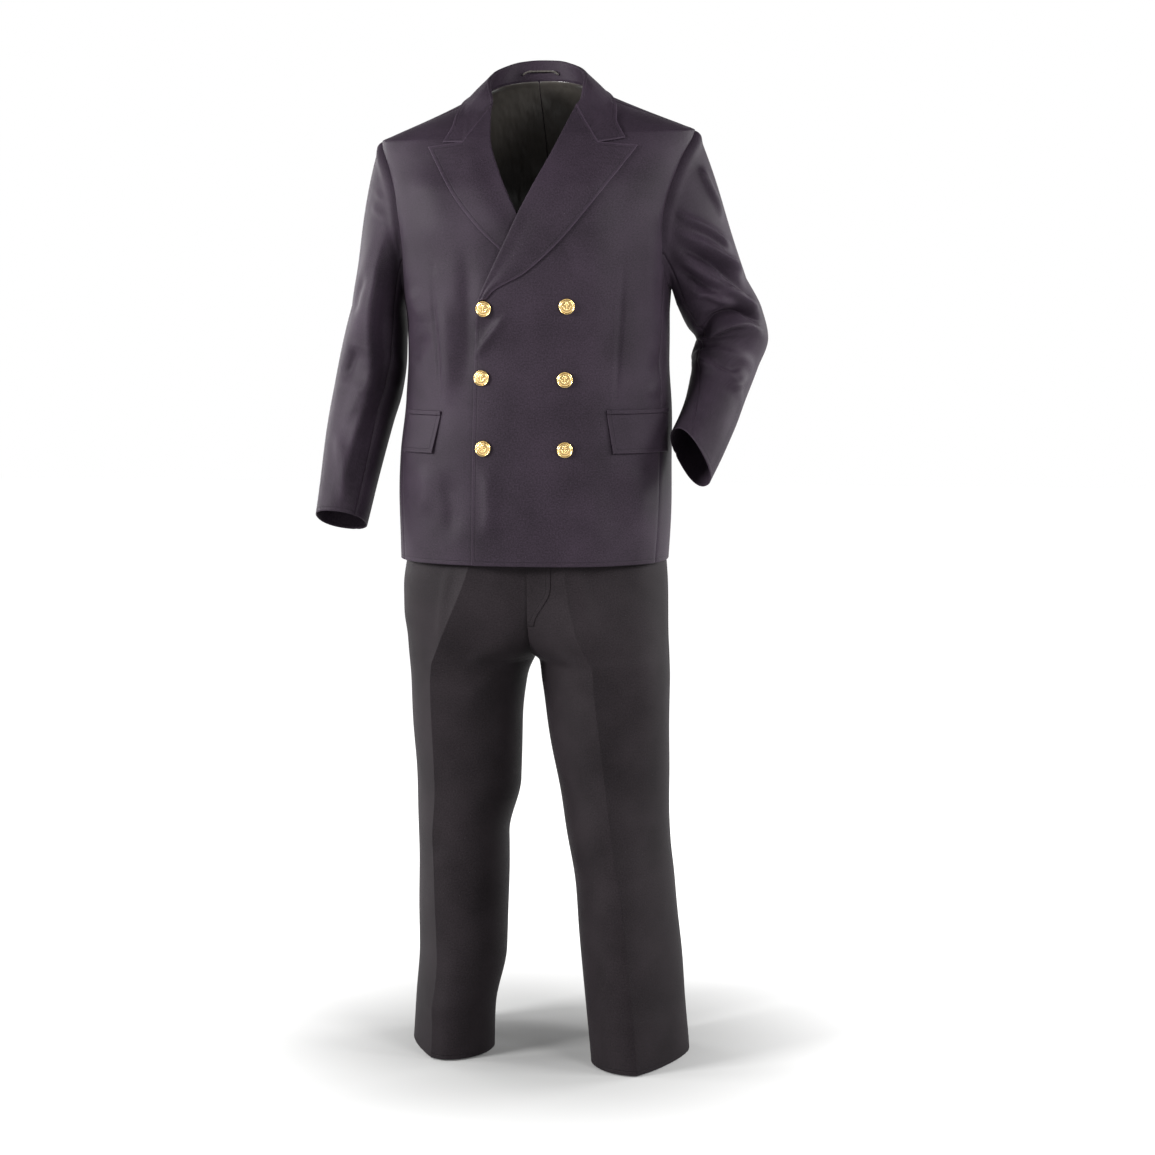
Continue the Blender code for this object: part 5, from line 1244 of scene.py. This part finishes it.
def arm_rings(side):
    """Superellipse rings between the arm's inner and outer side, pitched forward, and their way."""
    rings = ARMS[side]
    at = np.linspace(0, len(rings) - 1, ARM_ROWS)
    size = {name: smooth(range(len(rings)), [getattr(ring, name) for ring in rings])(at)
            for name in ArmRing._fields}
    inner = np.stack([side * size["inner_x"], size["middle_y"], size["inner_z"]], -1)
    outer = np.stack([side * size["outer_x"], size["middle_y"], size["outer_z"]], -1)
    middle, outward = (inner + outer) / 2, unit(outer - inner)
    half = np.linalg.norm(outer - inner, axis=-1)[:, None] / 2
    ahead = np.array([0.0, -1.0, 0.0])
    down = unit(np.cross(outward, ahead)) * side
    down = np.where(down[:, 2:] > 0, -down, down)
    pitch = np.radians(size["pitch"])[:, None]
    front = ahead * np.cos(pitch) - down * np.sin(pitch)
    way = down * np.cos(pitch) + ahead * np.sin(pitch)
    turn = np.arange(AROUND) / AROUND * 2 * np.pi
    across, along = np.cos(turn), np.sin(turn)
    radius = ring_radius(across, along, half, size["half_depth"][:, None], ARM_SQUARENESS)
    points = middle[:, None] + (radius * across)[..., None] * outward[:, None]
    return points + (radius * along)[..., None] * front[:, None], way


def sleeve_normal(grid):
    """Cross product of the steps round and down the sleeve, turned outwards."""
    normal = unit(np.cross(np.roll(grid, -1, 1) - np.roll(grid, 1, 1), np.gradient(grid, axis=0)))
    return normal * np.sign((normal * (grid - grid.mean(1, keepdims=True))).sum(-1).mean())


def elbow_folds(side):
    """Height of the large folds: exp(-((row - line)/width)^2) * (1 - (off/length)^2)."""
    row = SLEEVE_SHARE[:, None]
    column = np.arange(AROUND)[None, :] / FINE
    height = np.zeros((len(SLEEVE_SHARE), AROUND))
    for fold in ARM_FOLDS[side]:
        off = (column - fold.column + 10) % 20 - 10
        line = row - fold.row - fold.slant * off
        fade = np.maximum(1 - (off / fold.length) ** 2, 0.0)
        height += fold.height * np.exp(-(line / fold.width) ** 2) * fade
    return height * ease(row, *FOLDS_BEGIN) * (1 - ease(row, *FOLDS_CEASE))


def sleeve_grid(side):
    """The whole sleeve: cubic rows from the armhole to the first ring, then the rings."""
    loop = hole_loop(side)
    start, sink = jacket(loop[:, 0], loop[:, 1])
    rings, way = arm_rings(side)
    upper = ((1 + np.cos(np.arange(AROUND) / AROUND * 2 * np.pi)) / 2)[:, None]
    edge = unit(np.roll(start, -1, 0) - np.roll(start, 1, 0))
    leave = unit(np.cross(edge, sink)) * side
    leave = np.where(((start.mean(0) - start) * leave).sum(-1, keepdims=True) < 0, -leave, leave)
    head = unit(np.array(HEAD_WAY) * (side, 1, 1))
    first = unit(leave * (1 - upper) + head * (HEAD_SHARE + upper))
    first = first * (UNDER_START + (PULL_START[side] - UNDER_START) * upper)
    last = way[0] * (UNDER_END + (PULL_END[side] - UNDER_END) * upper)
    t = np.linspace(0, 1, CAP_ROWS)[:-1, None, None]
    cap = ((1 + 2 * t) * (1 - t) ** 2 * start + t * (1 - t) ** 2 * first
           + t * t * (3 - 2 * t) * rings[0] + t * t * (t - 1) * last)
    grid = np.concatenate([cap, rings])
    normal = sleeve_normal(grid)
    far = lengths(grid)["bottom"]
    height = elbow_folds(side) + wander(grid, 2.0 + side)
    height += crease_relief(grid, ARM_CREASES[side]) * facing(normal, -1)
    height += crease_relief(grid, ARM_BACK_CREASES[side]) * facing(normal, 1)
    height *= ease(far, *CREASE_FREE)
    height += HEAD_ROLL * upper[None, :, 0] * np.exp(-((far - HEAD_ROLL_AT) / HEAD_ROLL_WIDTH) ** 2)
    grid = grid + normal * height[..., None] - sink * seam_dip(far)[..., None]
    return grid, grid - sleeve_normal(grid) * SHEET


# %% Top and under sleeves
for side in (1, -1):
    outer, inner = sleeve_grid(side)
    first, last = (FINE * column for column in TOP_SLEEVE)
    spans = {"sleeve_top_": np.arange(first, last + 1),
             "sleeve_under_": np.arange(last, first + AROUND + 1)}
    for name, span in spans.items():
        pick = span % AROUND
        cloth(name + side_name(side), outer[:, pick], inner[:, pick], jacket_twill,
              seams=("first", "last"), hems=("top",))
print(made[-4:])

# %% [markdown]
# ## Pocket flaps
# A flap is a small stiff panel sewn into the pocket's mouth, with a narrow jetting above it. Both
# lie on the front and follow its surface, a little above it.

# %% Pockets
FLAP_HANG = 0.0024      # how far the flap's lower edge hangs off the front
STRIP_GAP = 0.0016      # between the flap and the strip above it
STRIP_LIE = 0.0014
STRIP_SHEET = 0.0018


def on_panel(side, inner_edge, outer_edge, z, across, lie, sheet):
    """Both faces of a piece that lies on a front: straight rows between its two edges."""
    ends = [np.stack(on_front(side * x, z), -1) for x in (inner_edge, outer_edge)]
    grid = between(*ends, across)
    rise = rise_at(body(grid[..., 0], grid[..., 1])) if side > 0 else 0.0
    surface, normal = jacket(grid[..., 0], grid[..., 1], rise)
    return surface + normal * (lie + sheet), surface + normal * lie


for side in (1, -1):
    size, down = FLAPS[side], shares(21)
    z = size.top + (size.bottom - size.top) * down
    near = size.top_in + (size.bottom_in - size.top_in) * down
    far = size.top_out + (size.bottom_out - size.top_out) * down
    hang = (LIE + FLAP_HANG * down ** 1.5)[:, None, None]
    outer, inner = on_panel(side, near, far, z, shares(41), hang, SHEET)
    cloth("flap_" + side_name(side), outer, inner, jacket_twill, hems=("first", "last", "top"))
    z = size.top + STRIP_GAP + (size.strip_top - size.top) * shares(5)
    near, far = size.top_in + 0 * z, size.top_out + 0 * z
    outer, inner = on_panel(side, near, far, z, shares(41), STRIP_LIE, STRIP_SHEET)
    cloth("pocket_strip_" + side_name(side), outer, inner, jacket_twill, hems=("first", "last"))
print(made[-4:])

# %% [markdown]
# ## Buttons
# The buttons are gilt, domed, with a rope round the rim and a plain anchor in the middle. A
# button is a height over the plane: dome + rim + rope + anchor, each a formula of the distance
# from a circle or a line, on rings that get closer towards the rim.

# %% Buttons
BUTTON_RADIUS = 0.0120
BUTTON_SIDES = 120      # points round each ring of a button
DULL = 0.3              # brightness of its edge and underside


def line_gap(x, y, ax, ay, bx, by):
    """Distance from a line between two points."""
    run_x, run_y = bx - ax, by - ay
    t = np.clip(((x - ax) * run_x + (y - ay) * run_y) / (run_x ** 2 + run_y ** 2), 0, 1)
    return np.hypot(x - ax - t * run_x, y - ay - t * run_y)


def anchor(x, y):
    """1 on a plain anchor, 0 off it: a shank, a stock, a ring, a bow and two flukes."""
    bow = np.abs(np.hypot(x, y - 0.02) - 0.46)
    bow = np.where(y > -0.10, 1.0, bow)
    gaps = [line_gap(x, y, 0.0, -0.44, 0.0, 0.34), line_gap(x, y, -0.22, 0.24, 0.22, 0.24),
            np.abs(np.hypot(x, y - 0.43) - 0.09), bow,
            line_gap(x, y, -0.50, 0.0, -0.36, -0.16), line_gap(x, y, 0.50, 0.0, 0.36, -0.16),
            line_gap(x, y, -0.30, -0.10, -0.44, -0.10), line_gap(x, y, 0.30, -0.10, 0.44, -0.10)]
    return 1 - ease(np.minimum.reduce(gaps), 0.035, 0.075)


def button_relief(radius, turn):
    """Height in metres and brightness at a radius from 0 to 1: dome, rim, rope and anchor."""
    x, y = radius * np.sin(turn), radius * np.cos(turn)
    dome = 0.0036 * np.sqrt(np.maximum(1 - (0.80 * radius) ** 2, 0.0)) + 0.0005
    rim = 0.0007 * np.exp(-((radius - 0.93) / 0.05) ** 2)
    groove = -0.0004 * np.exp(-((radius - 0.82) / 0.04) ** 2)
    rope = np.exp(-((radius - 0.72) / 0.045) ** 2) * (0.6 + 0.4 * np.sin(36 * turn + 16 * radius))
    shape = anchor(x / 0.95, y / 0.95)
    bright = np.clip(0.25 + 0.75 * np.maximum.reduce([shape, rope, ease(radius, 0.84, 0.90)]), 0, 1)
    bright = bright * (1 - 0.5 * np.exp(-((radius - 0.82) / 0.03) ** 2))
    return dome + rim + groove + 0.0003 * rope + 0.00045 * shape, bright


def button(item):
    """One button: rings of the relief, then its edge, its flat underside and both poles."""
    radius = np.concatenate([np.linspace(0.03, 0.80, 34), np.linspace(0.82, 0.985, 13)])
    turn = np.arange(BUTTON_SIDES) / BUTTON_SIDES * 2 * np.pi
    reach, turns = np.meshgrid(radius, turn, indexing="ij")
    height, bright = button_relief(reach, turns)
    edge_radius = np.array([1.0, 0.985, 0.80, 0.40])
    edge_height = np.array([0.0022, 0.0013, 0.0, 0.0])
    reach = np.concatenate([reach, np.repeat(edge_radius[:, None], BUTTON_SIDES, 1)])
    height = np.concatenate([height, np.repeat(edge_height[:, None], BUTTON_SIDES, 1)])
    bright = np.concatenate([bright, np.full((len(edge_radius), BUTTON_SIDES), DULL)])
    turns = np.repeat(turn[None], len(reach), 0)
    x = BUTTON_RADIUS * reach * np.sin(turns)
    y = BUTTON_RADIUS * reach * np.cos(turns)
    flat = np.stack([x, y, height], -1).reshape(-1, 3)
    top, shine = button_relief(np.array([0.0]), np.array([0.0]))
    flat = np.concatenate([flat, [[0.0, 0.0, top[0]], [0.0, 0.0, 0.0]]])
    bright = np.concatenate([bright.ravel(), shine, [DULL]])
    index = np.arange(len(reach) * BUTTON_SIDES).reshape(len(reach), BUTTON_SIDES)
    after = np.roll(index, -1, 1)
    walls = np.stack([index[:-1], index[1:], after[1:], after[:-1]], -1).reshape(-1, 4)
    pole, foot = len(flat) - 2, len(flat) - 1
    caps = np.concatenate([np.stack([np.full(BUTTON_SIDES, pole), index[0], after[0]], -1),
                           np.stack([np.full(BUTTON_SIDES, foot), after[-1], index[-1]], -1)])
    angle, level = on_front(item.x, item.z)
    seat, normal = jacket(angle, level, rise_at(body(angle, level)) + item.lie)
    across = unit(np.cross((0.0, 0.0, 1.0), normal))
    points = seat + flat[:, :1] * across + flat[:, 1:2] * np.cross(normal, across) + flat[:, 2:] * normal
    piece = mesh_piece(item.name + "_gilt", points, [walls[:, ::-1], caps[:, ::-1]], gilt_brass)
    attribute = piece.data.attributes.new("relief", "FLOAT", "POINT")
    attribute.data.foreach_set("value", bright.astype(np.float32))
    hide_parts(item.name)
    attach(piece, "root")
    return piece


buttons = [button(item) for item in BUTTONS]
print(len(buttons), "buttons of", len(buttons[0].data.polygons), "faces")

# %% [markdown]
# ## Hanger loop
# A short cord of satin is sewn into the neck to hang the jacket by. It is a circle carried along a
# curve that follows the inside of the collar's stand: rise * (1 - t^6), flat with two bent ends.

# %% Loop
CORD_SIDES = 20
CORD_TWIST = 0.06       # how far its strands swell, as a part of its radius


def tube(name, path, radius, finish):
    """A closed tube: rings round the path in the plane across it, closed with a pole at each end."""
    way = unit(np.gradient(path, axis=0))
    side_way = unit(np.cross(way, (0.0, 0.0, 1.0)))
    up_way = np.cross(side_way, way)
    turn = np.arange(CORD_SIDES) / CORD_SIDES * 2 * np.pi
    twist = 1 + CORD_TWIST * np.sin(5 * turn[None] + np.linspace(0, 60, len(path))[:, None])
    rings = path[:, None] + radius * twist[..., None] * (np.cos(turn)[None, :, None] * side_way[:, None]
                                                         + np.sin(turn)[None, :, None] * up_way[:, None])
    index = np.arange(len(path) * CORD_SIDES).reshape(len(path), CORD_SIDES)
    after = np.roll(index, -1, 1)
    walls = np.stack([index[:-1], after[:-1], after[1:], index[1:]], -1).reshape(-1, 4)
    first, last = index.size, index.size + 1
    caps = np.concatenate([np.stack([np.full(CORD_SIDES, first), after[0], index[0]], -1),
                           np.stack([np.full(CORD_SIDES, last), index[-1], after[-1]], -1)])
    points = np.concatenate([rings.reshape(-1, 3), path[:1], path[-1:]])
    return mesh_piece(name, points, [walls[:, ::-1], caps[:, ::-1]], finish)


t = np.linspace(-1, 1, 61)
x = LOOP_HALF * t
path = np.stack([LOOP_X + x, LOOP_Y - LOOP_BEND * x * x, LOOP_Z + LOOP_RISE * (1 - t ** 6)], -1)
loop = tube("hanger_loop_cord", path, LOOP_RADIUS, lining_satin)
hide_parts("hanger_loop")
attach(loop, "root")
print("the loop is", round(float(np.linalg.norm(np.diff(path, axis=0), axis=1).sum()), 3), "m long")

# %% [markdown]
# ## Trousers
# Each leg is a tube in two halves. Pressing draws the cloth to a ridge in front and behind, and a
# pleat under the waistband lets the front ridge open into the hip. The ring of a leg is a
# superellipse with two ridges of 1 + rise*exp(-off/width).

# %% The leg's form
LEG_FORM = {side: columns_of(rows, "z") for side, rows in LEGS.items()}
CENTRE_GAP = 0.00015    # half the space between the two legs' panels at the centre seam
LEVEL_NEAR = 1e-6       # levels closer than this are the same
LEG_CREASES = [
    Crease([(-0.1190, -0.6900), (-0.1330, -0.7600), (-0.1400, -0.8400)], 0.0060, 0.0034, 0.4),
    Crease([(0.0720, -0.6900), (0.0930, -0.7700), (0.1080, -0.8600)], 0.0065, 0.0030, -0.3),
    Crease([(-0.0200, -0.8300), (-0.0700, -0.8450), (-0.1150, -0.8900)], 0.0120, 0.0026, 0.2),
    Crease([(0.0250, -0.8350), (0.0750, -0.8600), (0.1150, -0.9200)], 0.0120, 0.0026, -0.2),
    Crease([(-0.0350, -0.8750), (-0.0800, -0.9000), (-0.1200, -0.9500)], 0.0150, 0.0020, 0.0),
    Crease([(-0.1600, -1.1700), (-0.1300, -1.1800), (-0.0950, -1.1650)], 0.0160, 0.0018, 0.2),
    Crease([(0.1100, -1.1600), (0.1500, -1.1800), (0.1900, -1.1650)], 0.0160, 0.0018, 0.2),
    Crease([(-0.1850, -1.4000), (-0.1500, -1.4200), (-0.1100, -1.4050)], 0.0170, 0.0022, 0.0),
    Crease([(0.1300, -1.4050), (0.1700, -1.4250), (0.2100, -1.4100)], 0.0170, 0.0022, 0.0),
]
LEG_BACK_CREASES = [
    Crease([(-0.0200, -0.8400), (-0.0800, -0.8600), (-0.1500, -0.8550)], 0.0150, 0.0034, 0.2),
    Crease([(0.0200, -0.8450), (0.0800, -0.8650), (0.1500, -0.8600)], 0.0150, 0.0034, 0.2),
    Crease([(-0.0500, -0.9000), (-0.1000, -0.9150), (-0.1600, -0.9050)], 0.0160, 0.0024, 0.0),
    Crease([(0.0550, -0.9100), (0.1050, -0.9250), (0.1650, -0.9150)], 0.0160, 0.0024, 0.0),
    Crease([(-0.1700, -1.1850), (-0.1300, -1.2000), (-0.0900, -1.1850)], 0.0150, 0.0026, 0.2),
    Crease([(0.1050, -1.1850), (0.1500, -1.2000), (0.1900, -1.1850)], 0.0150, 0.0026, 0.2),
]


def leg_ring(side, angle, z):
    """Point of one leg: angle 0 is its outer side and a quarter turn its front."""
    form = LEG_FORM[side]
    angle, z = np.broadcast_arrays(np.asarray(angle, float), np.asarray(z, float))
    middle, out = form["middle"](z), form["out"](z)
    across, along = np.cos(angle), np.sin(angle)
    depth = np.where(along >= 0, form["front"](z), form["back"](z))
    square = form["square"](z)
    radius = ring_radius(across, along, out - middle, depth, square)
    for ridge in (np.radians(form["crease"](z)), -np.radians(form["back_crease"](z))):
        off = np.degrees(np.abs((angle - ridge + np.pi) % (2 * np.pi) - np.pi))
        sharper = CREASE_SHARPER * (ridge > 0) * ease(HEM - z, SHARPER_FROM, SHARPER_FULL)
        rise = CREASE_RISE * (1 + sharper)
        radius = radius * (1 + rise * np.exp(-off / CREASE_WIDTH))
    y = form["middle_y"](z) - radius * along + form["skew"](z) * radius * across
    return np.stack([side * (middle + radius * across), y, z], -1)


def leg_normal(side, angle, z, step=0.004):
    """Cross product of the leg's two slopes."""
    around = leg_ring(side, angle + step, z) - leg_ring(side, angle - step, z)
    upward = leg_ring(side, angle, z + step) - leg_ring(side, angle, z - step)
    return unit(np.cross(upward, around)) * side


def halving(near, far, inside):
    """The place between two ends where a test changes, halving the way between them each time."""
    for _ in range(40):
        half = (near + far) / 2
        keep = inside(half)
        near, far = np.where(keep, half, near), np.where(keep, far, half)
    return near


def centre_angle(side, z, face):
    """Angle where a leg meets the centre plane, or its inner side below the fork."""
    sign = 1.0 if face == "front" else -1.0
    found = halving(np.full_like(z, np.pi / 3), np.full_like(z, np.pi),
                    lambda half: side * leg_ring(side, sign * half, z)[..., 0] > CENTRE_GAP)
    return sign * np.where(z <= FORK + LEVEL_NEAR, np.pi, found)


print("legs' widest half is", max(row.out for row in LEGS[-1]), "m from the centre")

# %% Trouser panels
LEG_UP = np.unique(np.concatenate([TROUSER_TOP + (TROUSER_HEM - TROUSER_TOP) * shares(131, 0.0025),
                                   FORK + np.array([0.020, 0.012, 0.006, 0.003, 0.001, 0.0])]))[::-1]


def leg_cloth(side, angle, z, out=0.0):
    """Point of the leg's cloth and its normal: the form, its creases and its slow unevenness."""
    plain, normal = leg_ring(side, angle, z), leg_normal(side, angle, z)
    height = wander(plain, 5.0, 0.0009)
    height += crease_relief(plain, LEG_CREASES) * facing(normal, -1)
    height += crease_relief(plain, LEG_BACK_CREASES) * facing(normal, 1)
    height *= ease(np.abs(plain[..., 0]), 0.0, 0.012) * ease(-z, 0.600, 0.640)
    return plain + normal * (height + out)[..., None], normal


for side in (1, -1):
    for face in ("front", "back"):
        sign = 1.0 if face == "front" else -1.0
        column = "crease" if face == "front" else "back_crease"
        crease = sign * np.radians(LEG_FORM[side][column](LEG_UP))[:, None]
        end = centre_angle(side, LEG_UP, face)[:, None]
        half = shares(27, 0.008)[None, :]
        angle = np.concatenate([half * crease, ((1 - half) * crease + half * end)[:, 1:]], 1)
        outer, normal = leg_cloth(side, angle, LEG_UP[:, None] + 0 * angle)
        inner = outer - normal * SHEET
        above = LEG_UP > FORK + LEVEL_NEAR
        inner[above, -1, 0] = side * CENTRE_GAP
        cloth("trouser_" + face + "_" + side_name(side), outer, inner, trouser_twill,
              seams=("first",), hems=("top",))
print(made[-4:])

# %% Waistband and fly
BAND_GAP = 0.0003       # space between the waistband or fly and the panels
BAND_EASE = 0.001       # how far the band stands off the legs' upper ring
FLY_SHEET = 0.0010


def band_ring(z, depth):
    """Superellipse ring of the waistband at a height, drawn in by a depth."""
    turn = np.arange(200) / 200 * 2 * np.pi
    across, along = np.cos(turn), np.sin(turn)
    sizes = [float(LEG_FORM[1][name](z)) for name in ("out", "front", "back")]
    half, front, back = (size + BAND_EASE - depth for size in sizes)
    reach = np.where(along >= 0, front, back)
    radius = ring_radius(across, along, half, reach, BAND_SQUARENESS)
    return np.stack([radius * across, -radius * along, np.full_like(turn, z)], -1)


band_levels = TROUSER_TOP + BAND_GAP + (BAND_TOP - TROUSER_TOP - BAND_GAP) * shares(9, 0.02)
outer = np.stack([band_ring(z, 0.0) for z in band_levels])
inner = np.stack([band_ring(z, BAND_WALL) for z in band_levels])
cloth("waistband", outer, inner, trouser_twill, hems=("top",), closed=True)

z = np.array([level for level in LEG_UP if level > FLY_END] + [FLY_END])
z[0] -= BAND_GAP
end = centre_angle(1, z, "front")
taper = 1 - FLY_NARROWING * ease(-z, -FLY_END - FLY_CURVE, -FLY_END)
wide = CENTRE_GAP + FLY_WIDTH * taper
near = halving(np.radians(FLY_LIMIT) + 0 * end, end.copy(),
               lambda half: leg_ring(1, half, z)[:, 0] > wide)
angle = between(near[:, None], end[:, None], shares(13))[..., 0]
outer, normal = leg_cloth(1, angle, z[:, None] + 0 * angle)
cloth("fly", outer + normal * (BAND_GAP + FLY_SHEET), outer + normal * BAND_GAP, trouser_twill,
      hems=("first", "top"))
print(made[-2:])

# %% [markdown]
# ## Floor, light and camera
# The uniform stands on a pale floor before white. One large soft light stands to the left in front
# and makes the dark wool readable, a weaker one fills from the right, two graze the sides and two
# light the back. The floor's glow is kept dark near the feet as a painted shadow pool, and rises
# away from them so that the floor meets the white behind it without an edge. The camera keeps the
# photograph's place and field of view.

# %% Stage
FLOOR = -1.5000
OVERHEAD = 0.05         # light from above, beside 1 from all round
floor_finish = Finish("pale_floor", {"Roughness": 0.9, "Base Color": (0.25, 0.25, 0.248, 1.0),
                                     "Emission Strength": 1.0})
spot = floor_finish.node("TexCoord", {}, {}, 3)
away = floor_finish.node("VectorMath", {"operation": "DISTANCE"}, {0: spot, 1: (0.0, 0.0, FLOOR)}, 1)
# Painted shadow: the glow is near black under the uniform and rises to near white 0.85 m out.
floor_finish.feed("Emission Color", floor_finish.blend(floor_finish.step(away, 0.05, 0.85),
                                                       (0.03, 0.03, 0.03, 1.0), (0.93, 0.93, 0.93, 1.0)))
corners = np.array([(-9.0, -6.0, FLOOR), (9.0, -6.0, FLOOR), (9.0, 12.0, FLOOR), (-9.0, 12.0, FLOOR)])
floor = mesh_piece("floor", corners, [np.array([[0, 1, 2, 3]])], floor_finish.material, False)

world = bpy.data.worlds.new("studio")
bpy.context.scene.world = world
bpy.context.scene.view_settings.view_transform = "Standard"
world.use_nodes = True
sky = world.node_tree
direction = sky.nodes.new("ShaderNodeSeparateXYZ")
sky.links.new(sky.nodes.new("ShaderNodeTexCoord").outputs["Generated"], direction.inputs[0])
fall_off = sky.nodes.new("ShaderNodeMapRange")
fall_off.interpolation_type = "SMOOTHSTEP"
for socket, value in {"From Min": 0.18, "From Max": 0.55, "To Min": 1.0, "To Max": OVERHEAD}.items():
    fall_off.inputs[socket].default_value = value
sky.links.new(direction.outputs["Z"], fall_off.inputs["Value"])
sky.links.new(fall_off.outputs["Result"], sky.nodes["Background"].inputs["Strength"])
sky.nodes["Background"].inputs["Color"].default_value = (1.0, 1.0, 1.0, 1.0)


def light(name, place, aim, size, power):
    """A square area light that points from its place to its aim."""
    data = bpy.data.lights.new(name, "AREA")
    data.shape, data.size, data.energy = "SQUARE", size, power
    lamp = bpy.data.objects.new(name, data)
    lamp.location = place
    lamp.rotation_euler = (Vector(aim) - Vector(place)).to_track_quat("-Z", "Y").to_euler()
    bpy.context.scene.collection.objects.link(lamp)


light("key", (-2.9, -1.9, 0.6), (0.0, 0.0, -0.4), 1.0, 270.0)
light("left_side", (-3.0, -0.3, 0.2), (0.0, 0.0, -0.4), 1.0, 62.0)
light("fill", (2.3, -2.3, 0.9), (0.0, 0.0, -0.4), 1.0, 85.0)
light("right_side", (3.0, -0.4, 0.7), (0.0, 0.0, -0.4), 1.0, 100.0)
light("back_left", (-2.6, 1.8, 0.1), (0.0, 0.0, -0.5), 1.4, 50.0)
light("back_right", (2.8, 1.7, 0.1), (0.0, 0.0, -0.5), 1.4, 90.0)

LOOKS_DOWN = 6.606      # degrees by which the camera looks down
LOOKS_LEFT = 7.0        # and by which it is turned, from its place on the wearer's left
camera = bpy.data.objects.new("camera", bpy.data.cameras.new("camera"))
camera.location = (0.5122, -3.6649, -0.3104)
camera.rotation_euler = (np.radians(90 - LOOKS_DOWN), 0.0, np.radians(LOOKS_LEFT))
camera.data.lens, camera.data.sensor_width = 73.34, 36.0
bpy.context.scene.collection.objects.link(camera)
bpy.context.scene.camera = camera
print("camera at", tuple(camera.location))

# %% [markdown]
# ## Count the cloth
# The triangles of all the cloth pieces are counted.

# %% Count the triangles of cloth
print(sum(item[1] for item in made), "triangles of cloth")
